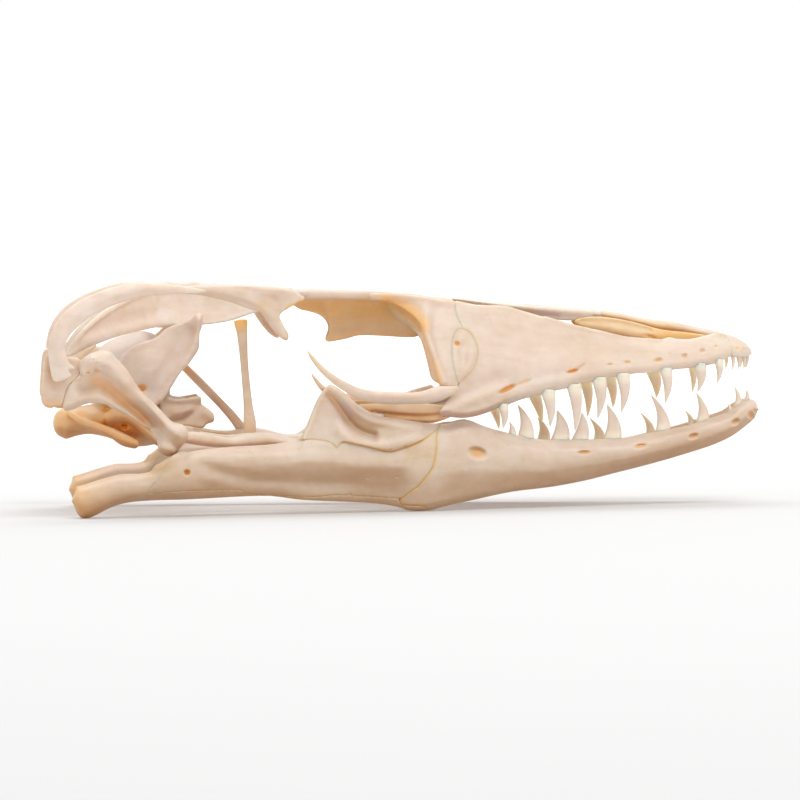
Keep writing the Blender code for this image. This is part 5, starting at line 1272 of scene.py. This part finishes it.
# ------------------------------------------------------------------ lower jaw
JAW_TOP = [(71.5, 497), (72.8, 494), (76, 487), (84, 484.6), (101, 479.2), (120, 474.2), (138, 473.6), (150, 471.5), (159, 464.5),
           (168, 458.6), (180, 453.6), (210, 448.6), (236, 446.4), (265, 444.8), (288, 441.8), (300, 437.7),
           (305, 429), (311.5, 412.5), (317, 399.6), (324.7, 388.4), (330.4, 384), (336.7, 387), (346, 394), (356, 403), (369, 411.3),
           (380, 416), (403, 419.4), (420.5, 422), (435.5, 423.4), (446, 422.8), (464.6, 419), (484, 426),
           (504, 431.8), (537, 438.8), (573, 439.4), (620, 438), (653.7, 432), (687, 425.2), (718, 415.8),
           (730, 411.2), (738, 404.6), (747, 399.5), (753, 399.3), (757.5, 404), (759, 408.5)]
JAW_LOW = [(759, 409.5), (757.5, 413), (754, 419), (745, 427), (731.4, 436.6), (714, 444.6), (694, 451.3), (667, 459.4), (640.4, 466.7),
           (613.6, 473.4), (586, 480.4), (552.7, 486.7), (512, 491.8), (480, 498.5), (443.5, 506.6), (429, 510.4), (410, 510.6),
           (397.6, 506.8), (382, 504.2), (369, 502.8), (334, 501.4), (300, 499.7), (270, 496), (236.6, 496.8), (190, 499.4), (159.5, 500.2),
           (134.6, 501.8), (122, 504), (110, 508), (101.5, 512.4), (93, 516.6), (85.7, 518.6), (80.7, 517.6), (76, 512.6), (72.6, 505)]
JAW_MID_W = [(72, 25.2), (92, 25.6), (134, 26.4), (165, 26.9), (185, 26.8), (210, 26.3), (250, 25.3), (300, 23.6),
             (340, 22.4), (380, 21.0), (420, 19.3), (441, 18.3), (460, 17.2), (512, 14.2), (560, 11.7), (620, 9.5),
             (670, 7.8), (710, 6.3), (735, 5.0), (750, 3.7), (758, 3.0)]
JAW_THICK = [(72, 3.4), (80, 5.2), (92, 5.8), (110, 5.2), (134, 4.8), (165, 5.8), (185, 6.2), (210, 5.4), (250, 4.8),
             (300, 5.0), (340, 5.2), (380, 5.6), (420, 6.0), (512, 5.4), (560, 5.2), (620, 5.0), (670, 4.8),
             (710, 4.6), (735, 4.3), (750, 3.8), (757, 2.8)]
SUTURE = [(440.6, 421.0), (436.8, 434.3), (436.6, 444.6), (435.2, 457), (432, 467.6), (426, 476.8), (419.4, 484.8), (409, 492.8), (402.4, 498.2)]
ANGULAR_TOP = [(158, 493.6), (176, 491.6), (236.6, 490), (246, 493.4), (280, 495.6), (313.8, 497.0), (334, 495), (357, 495.7), (380, 497.2), (398, 498.4)]
CORONOID_LOW = [(298.5, 440.5), (305, 439.6), (319.5, 440), (327, 441.6), (332, 443.4), (336.7, 448.4), (340.5, 443.6), (345, 441.9), (355, 443.7),
                (369, 447), (385, 451), (392, 451.5), (403, 448), (415, 443.5), (426, 437.7), (436, 430.4), (440.2, 426.0)]
ARTICULAR_EDGE = [(173, 452), (168.5, 462), (163, 471), (156, 481), (150, 488), (147.5, 492.8)]
TEETH_LOW_R = [(508, 515.7, 433.5, (509.3, 421.6)), (518, 533.5, 435.6, (517.6, 404.4)),
               (551, 569, 438.8, (557, 410)), (572, 588, 438.8, (582, 412.7)), (604, 621, 436.6, (607, 404.5)),
               (656, 670, 429, (650.5, 394.5)), (696.6, 709, 420, (696.3, 392.6)),
               (728, 733, 411, (726.8, 403)), (734.5, 741.5, 403.5, (734.4, 385.8)),
               (744, 749.5, 400, (746.2, 388.8))]
TEETH_LOW_L = [(537, 550, 438.8, (538, 417)), (593.5, 605, 438.8, (589.6, 417.8)),
               (645.7, 655, 432.6, (640, 412.3)), (687.5, 695, 424, (684.6, 410))]
JAW_PITS = [(477.5, 453.2, 10.4, 6.6, 14, 1.25), (584, 452.5, 7.5, 2.2, -4, 0.8), (640.4, 446, 7, 2.6, -10, 0.9), (693.3, 436, 5.4, 2.8, -16, 0.9),
            (735.4, 422, 4.8, 3.4, -30, 1.0), (751, 415.5, 3.6, 4.4, 0, 1.0), (755, 411, 2.0, 3.0, -30, 0.5), (508.6, 446.5, 1.4, 1.0, 0, 0.3),
            (350.5, 494, 1.2, 0.9, 0, 0.3), (367.7, 478, 1.1, 0.9, 0, 0.3), (397, 476.8, 1.2, 1.0, 0, 0.3), (187, 472.7, 3.4, 3.2, 0, 1.1),
            (405, 447.5, 1.6, 1.2, 0, 0.3), (390, 450.4, 1.6, 1.2, 0, 0.3)]


def jaw_teeth(side):
    out = []
    sg = 1 if side == "_r" else -1
    for a, b, vb, tip in (TEETH_LOW_R if sg == 1 else TEETH_LOW_L):
        w = (float(curve(JAW_MID_W, (a + b) / 2)) - 0.7)
        t = tooth_mesh(a, b, vb + 1.0, tip, w * sg, 0.9, tip_w=(w - 0.2) * sg, root=3.0 if sg == 1 else 6.0, bow=0.30)
        out.append(place_tooth(t))
    return out


def build_jaw():
    f = Field(69, 761, 382, 521, 0.3, 30.4, 0.22)
    u, v = f.u, f.v
    top = curve(JAW_TOP, u)
    low = curve(JAW_LOW[::-1], u)
    h = np.maximum(low - top, 4)
    # under the coronoid peak the thick part of the jaw keeps its own height
    lift = curve([(290, 0), (302, 2), (311, 24), (320, 42), (330, 52), (343, 40), (356, 26), (380, 10), (420, 0)], np.clip(u, 290, 420))
    body_top = top + lift
    s = (v - body_top) / np.maximum(low - body_top, 4)
    t = curve(JAW_THICK, u) / 2
    tt = curve([(72, 0.5), (140, 0.5), (165, 0.85), (185, 0.8), (230, 0.45), (300, 0.5), (311, 0.34), (330, 0.22), (345, 0.3), (370, 0.5),
                (440, 0.62), (757, 0.7)], u)
    k = curve([(-3, 0.16), (-1.2, 0.2), (-0.3, 0.4), (0.0, 0.62), (0.14, 0.86), (0.32, 1.0), (0.5, 0.98), (0.7, 0.86), (0.88, 0.64), (1.0, 0.42), (1.2, 0.3)], s)
    frac = np.clip((v - top) / h, 0, 1)
    half = t * k
    plain = t * curve([(0, 0.0), (0.06, 0.34), (0.14, 0.66), (0.28, 0.92), (0.42, 1.0), (0.58, 0.96), (0.75, 0.83), (0.9, 0.62), (1.0, 0.42)], frac)
    cor = sstep(296, 306, u) * (1 - sstep(384, 420, u))
    half = np.where(u < 296, np.maximum(plain, tt), half * cor + np.maximum(plain, tt) * (1 - cor))
    half = np.maximum(half, tt)
    c = curve(JAW_MID_W, u)
    Wout = c + half
    Win = c - half
    # outer face: shelf of the surangular, hollow under it, soft swelling of the dentary
    Wout = Wout + 0.30 * f.ridge([(190, 458), (230, 456), (270, 456), (310, 459), (350, 462), (400, 464)], 1.9, 1.9) \
        - 0.50 * f.ridge([(198, 463), (212, 469), (234, 476), (262, 480), (310, 482), (350, 483), (400, 486), (440, 490)], 1.5, 1.0) * (1 - sstep(310, 420, u)) \
        - 0.9 * sstep(466, 496, v) * sstep(184, 214, u) * (1 - sstep(392, 440, u)) - 0.45 * sstep(0.62, 1.0, frac) * sstep(420, 460, u)
    Wout = Wout + 0.22 * f.ridge([(450, 470), (500, 466), (560, 461), (620, 452), (680, 441), (730, 425)], 2.2, 1.0)
    Wout = Wout - 0.30 * f.ridge([(446, 428), (466, 425), (490, 433), (520, 441), (560, 445), (620, 443.6), (660, 437)], 0.8, 1.0)
    Wout = Wout + 0.10 * wobble(u, v, 60, 22) + 0.025 * wobble(u, v, 16, 23)
    # fine streaks where the dentary laps onto the bones behind it
    st = sstep(398, 408, u) * (1 - sstep(434, 439, u)) * sstep(430, 438, v) * (1 - sstep(456, 470, v))
    Wout = Wout + 0.022 * st * np.sin((v + 0.5 * u) * 1.5)
    # painted shade: the nerve openings are tinted orange inside (pit)
    pit = 0.0 * u
    for a, b, ra, rb, ang, dep in JAW_PITS:
        m = f.spot(a, b, ra * 0.85, rb * 0.8, ang)
        Wout = Wout - 0.7 * dep * m
        pit = np.maximum(pit, m ** 1.3 * min(0.62, 0.22 + dep * 0.4))
    joint = f.spot(156, 468, 17, 10, -35, 2)
    Wout = Wout + joint * (0.26 * wobble(u, v, 7, 31) + 0.20 * wobble(u, v, 4, 32))
    # inner face: groove behind the tooth row
    Win = Win + 0.7 * f.ridge([(330, 470), (400, 476), (470, 474), (560, 466), (640, 453), (720, 430)], 1.6, 1.0)
    out = [tuple(p) for p in JAW_TOP] + [tuple(p) for p in JAW_LOW]
    d = f.outline(out, 3)
    body = f.relief(d, Wout, np.maximum(Wout - Win, 0.35), 1.6)
    # joint socket for the quadrate and the swelling around it
    body = smin(body, f.blob(170, 463, 26.9, 3.4, 1.8, 2.9, -35), 1.0)
    body = smax(body, -f.blob(165, 452.5, 27.0, 2.9, 2.2, 2.2, -30), 0.6)

    def region(pts, sub=1):
        p = np.array(pts, float) * 0.2
        return poly_distance(u * 0.2, v * 0.2, p)

    g = -0.12
    sut = spline(SUTURE, 4)
    ang = spline(ANGULAR_TOP, 4)
    corl = spline(CORONOID_LOW, 4)
    art = spline(ARTICULAR_EDGE, 4)
    L = lambda a: [tuple(x) for x in a]
    den = L(sut) + [(400.5, 500.4), (401, 504.6), (412, 505.2), (421, 505.4), (425.6, 507.6), (427, 530), (790, 530), (790, 375), (443, 375)]
    sur = L(sut[::-1]) + [(439.8, 427)] + L(corl[::-1])[1:] + [(292, 425), (180, 425)] + L(art) + L(ang)
    co = L(corl) + [(442, 375), (292, 375)]
    an = L(ang) + [(400.0, 505.4), (412, 506), (420, 506.0), (425.8, 508.0), (426.8, 530), (140, 530), (147.3, 493.7)]
    ar = L(art) + [(147.2, 493.8), (140.4, 530), (55, 530), (55, 430), (173, 430)]
    dd = {n: region(p) for n, p in (("dentary", den), ("surangular", sur), ("coronoid", co), ("angular", an), ("articular", ar))}

    # dentary keeps the outer face, splenial the strip under it and the inner plate
    cu = (c - 0.35 * curve(JAW_THICK, u))
    spl_top = curve([(438, 462), (452, 460), (484, 458), (509, 458), (553, 461), (592, 466)], u)
    strip = curve([(427, 505), (438, 502.9), (452, 500.8), (484, 495), (509, 491), (530, 489.8), (553, 489.3), (565, 491), (600, 520)], u)
    inner = np.maximum.reduce([(spl_top - v) * 0.2, (436.5 - u) * 0.2, (u - 592) * 0.2])
    inner3 = np.maximum(inner[..., None] + 0 * f.Z, f.Z - cu[..., None])
    strip3 = np.maximum.reduce([(strip - v) * 0.2, (426.5 - u) * 0.2, (u - 556) * 0.2])[..., None] + 0 * f.Z
    zone = np.minimum(inner3, strip3)

    rough = 0.05 * (1 + wobble(u, v, 55, 24))
    # pit and the opening at (187, 472.7) carry the painted shade inside the openings
    base_warm = np.maximum.reduce([rough + 0.02, pit * 0.95, 0.95 * f.spot(187, 472.7, 2.9, 2.6, 0, 4)])

    def piece(name, F, warm, **kw):
        us = np.nonzero((F < 0).any(axis=(1, 2)))[0]
        vs = np.nonzero((F < 0).any(axis=(0, 2)))[0]
        ws = np.nonzero((F < 0).any(axis=(0, 1)))[0]
        a0, a1 = max(us[0] - 3, 0), us[-1] + 4
        b0, b1 = max(vs[0] - 3, 0), vs[-1] + 4
        c0, c1 = max(ws[0] - 3, 0), ws[-1] + 4
        sub = Field.__new__(Field)
        sub.h = f.h
        sub.U, sub.V, sub.W = f.U[a0:a1], f.V[b0:b1], f.W[c0:c1]
        emit(name, sub, F[a0:a1, b0:b1, c0:c1], warm[a0:a1, b0:b1], **kw)

    F = smax(body, (dd["dentary"] + g)[..., None] + 0 * body, 0.22)
    F = smax(F, -(zone - 2 * g), 0.2)
    suture_w = np.exp(-((dd["dentary"] + 0.1) / 0.35) ** 2)
    wd = np.maximum(base_warm, 0.50 * suture_w * sstep(452, 436, u))
    wd = np.maximum(wd, 0.16 * np.exp(-(f.line([(440, 424), (464.6, 419), (484, 426), (504, 431.8), (537, 438.8), (620, 438), (687, 425), (730, 411)]) / 0.6) ** 2))
    piece("dentary", F, wd, teeth=jaw_teeth, shift=warp_left)
    F = smax(body, zone + g, 0.16)
    F = smax(F, (dd["dentary"] + g)[..., None] * 0.0 + (436.0 - u)[..., None] * 0.0 + F * 0 - 1.0, 0.01)
    F = smax(F, (425.5 - u)[..., None] * 0.2 + 0 * F, 0.2)
    piece("splenial", F, base_warm + 0.08, shift=warp_left, keep=1.0)
    # coronoid: own relief over the body
    Wc = Wout + 1.0 * f.ridge([(334, 391), (347, 402), (359, 412.5), (373, 420), (396, 424), (420, 426)], 1.2, 1.0) \
        - 1.5 * f.ridge([(328.6, 394), (336.2, 402), (342.8, 412), (349.4, 422), (359.7, 431.0), (374, 436.2)], 0.85, 1.0) \
        + 0.40 * f.ridge([(326, 391), (318, 402), (313, 414), (309, 427), (303, 436)], 0.8, 1.0) \
        + 0.7 * f.ridge([(340, 430), (352, 440), (369, 443.5), (388, 446), (402, 443), (418, 437)], 1.3, 1.0) + 0.35 * f.spot(395, 432, 24, 7, 4, 2)
    Fc = f.relief(d, Wc, np.maximum(Wc - Win, 0.5), 0.9)
    F = smax(Fc, (dd["coronoid"] + g)[..., None] + 0 * body, 0.3)
    # painted shade: the groove under the coronoid's front ridge is tinted warmer; the warm band at its edge is the
    # suture
    wc = np.maximum(base_warm, 0.10 * f.ridge([(326.4, 393), (335.6, 402), (342.5, 412), (349.4, 422), (359.7, 431.6), (371, 437)], 1.1, 1.0))
    wc = np.maximum(wc, 0.42 * np.exp(-((dd["coronoid"] + 0.05) / 0.28) ** 2))
    piece("coronoid", F, wc, shift=warp_left)
    F = smax(body, (dd["surangular"] + g)[..., None] + 0 * body, 0.16)
    ws = np.maximum(base_warm + 0.3 * joint, 0.22 * st + 0.40 * np.exp(-((dd["surangular"] + 0.05) / 0.28) ** 2) * sstep(176, 190, u))
    piece("surangular", F, ws, shift=warp_left)
    F = smax(body, (dd["angular"] + g)[..., None] + 0 * body, 0.16)
    piece("angular", F, np.maximum(base_warm, 0.24 * np.exp(-((dd["angular"] + 0.1) / 0.3) ** 2)), shift=warp_left)
    F = smax(body, (dd["articular"] - 0.26)[..., None] + 0 * body, 0.16)
    piece("articular", F, base_warm + 0.22 * sstep(150, 90, u) + 0.14 * sstep(90, 74, u) + 0.3 * joint, shift=warp_left)


for step in (build_snout, build_frontal, build_jugal, build_postorbital, build_squamosal, build_quadrate, build_palate,
             build_parietal, build_braincase, build_muzzle, build_jaw):
    step()

# ------------------------------------------------------------------ camera, light, floor
cam = bpy.data.cameras.new("cam")
cam.sensor_width = 36.0
cam.lens = 36.0 * FOCUS / 800.0
cam.clip_start = 0.05
cam_ob = bpy.data.objects.new("cam", cam)
bpy.context.scene.collection.objects.link(cam_ob)
m = Matrix.Identity(4)
for i in range(3):
    m[i][0], m[i][1], m[i][2], m[i][3] = RIGHT[i], UP[i], -FWD[i], EYE[i]
cam_ob.matrix_world = m
bpy.context.scene.camera = cam_ob


def plain(name, color, rough):
    mat = bpy.data.materials.new(name)
    mat.use_nodes = True
    b = mat.node_tree.nodes["Principled BSDF"]
    b.inputs["Base Color"].default_value = color
    b.inputs["Roughness"].default_value = rough
    return mat


floor_me = bpy.data.meshes.new("floor")
floor_me.from_pydata([(-8, -8, 0), (8, -8, 0), (8, 8, 0), (-8, 8, 0)], [], [(0, 1, 2, 3)])
floor = bpy.data.objects.new("floor", floor_me)
bpy.context.scene.collection.objects.link(floor)
floor.location.z = -0.0002
floor_mat = plain("floor", (0.68, 0.68, 0.68, 1), 0.95)
floor_me.materials.append(floor_mat)
# painted light: the floor glows by its own emission, faintly near the skull and more towards the back, like a lit
# studio sweep
fn = floor_mat.node_tree
ftc = fn.nodes.new("ShaderNodeTexCoord")
fl = fn.nodes.new("ShaderNodeSeparateXYZ")
floor_glow = fn.nodes.new("ShaderNodeMapRange")
floor_glow.interpolation_type = 'SMOOTHSTEP'
floor_glow.inputs[1].default_value, floor_glow.inputs[2].default_value = -0.04, 1.1
floor_glow.inputs[3].default_value, floor_glow.inputs[4].default_value = 0.10, 0.74
fn.links.new(ftc.outputs["Object"], fl.inputs[0])
fn.links.new(fl.outputs["Y"], floor_glow.inputs[0])
fb = fn.nodes["Principled BSDF"]
fb.inputs["Emission Color"].default_value = (1, 1, 1, 1)
fn.links.new(floor_glow.outputs[0], fb.inputs["Emission Strength"])


def area(name, loc, target, size, power, color=(1, 1, 1)):
    li = bpy.data.lights.new(name, 'AREA')
    li.shape = 'RECTANGLE'
    li.size, li.size_y = size
    li.energy = power
    li.color = color
    ob = bpy.data.objects.new(name, li)
    bpy.context.scene.collection.objects.link(ob)
    ob.location = loc
    d = Vector(target) - Vector(loc)
    ob.rotation_euler = d.to_track_quat('-Z', 'Y').to_euler()
    return ob


lights = [area("key", (0.22, -0.48, 0.84), (0, 0, 0.02), (0.60, 0.40), 3.1, (1.0, 0.995, 0.985)),
          area("top", (-0.05, 0.45, 0.85), (0, 0, 0.02), (0.9, 0.5), 3.4)]
world = bpy.data.worlds.new("world")
world.use_nodes = True
wn = world.node_tree
bg = wn.nodes["Background"]
wtc = wn.nodes.new("ShaderNodeTexCoord")
sep = wn.nodes.new("ShaderNodeSeparateXYZ")
wr = wn.nodes.new("ShaderNodeValToRGB")
wn.links.new(wtc.outputs["Generated"], sep.inputs[0])
wn.links.new(sep.outputs["Y"], wr.inputs[0])
# bright backdrop, softer light from everywhere else
e = wr.color_ramp.elements
e[0].position, e[0].color = 0.45, (0.725, 0.725, 0.725, 1)
e[1].position, e[1].color = 0.93, (1.0, 1.0, 1.0, 1)
wn.links.new(wr.outputs[0], bg.inputs[0])
bg.inputs[1].default_value = 1.0
bpy.context.scene.world = world
bpy.context.scene.view_settings.view_transform = 'Standard'
bpy.context.view_layer.update()
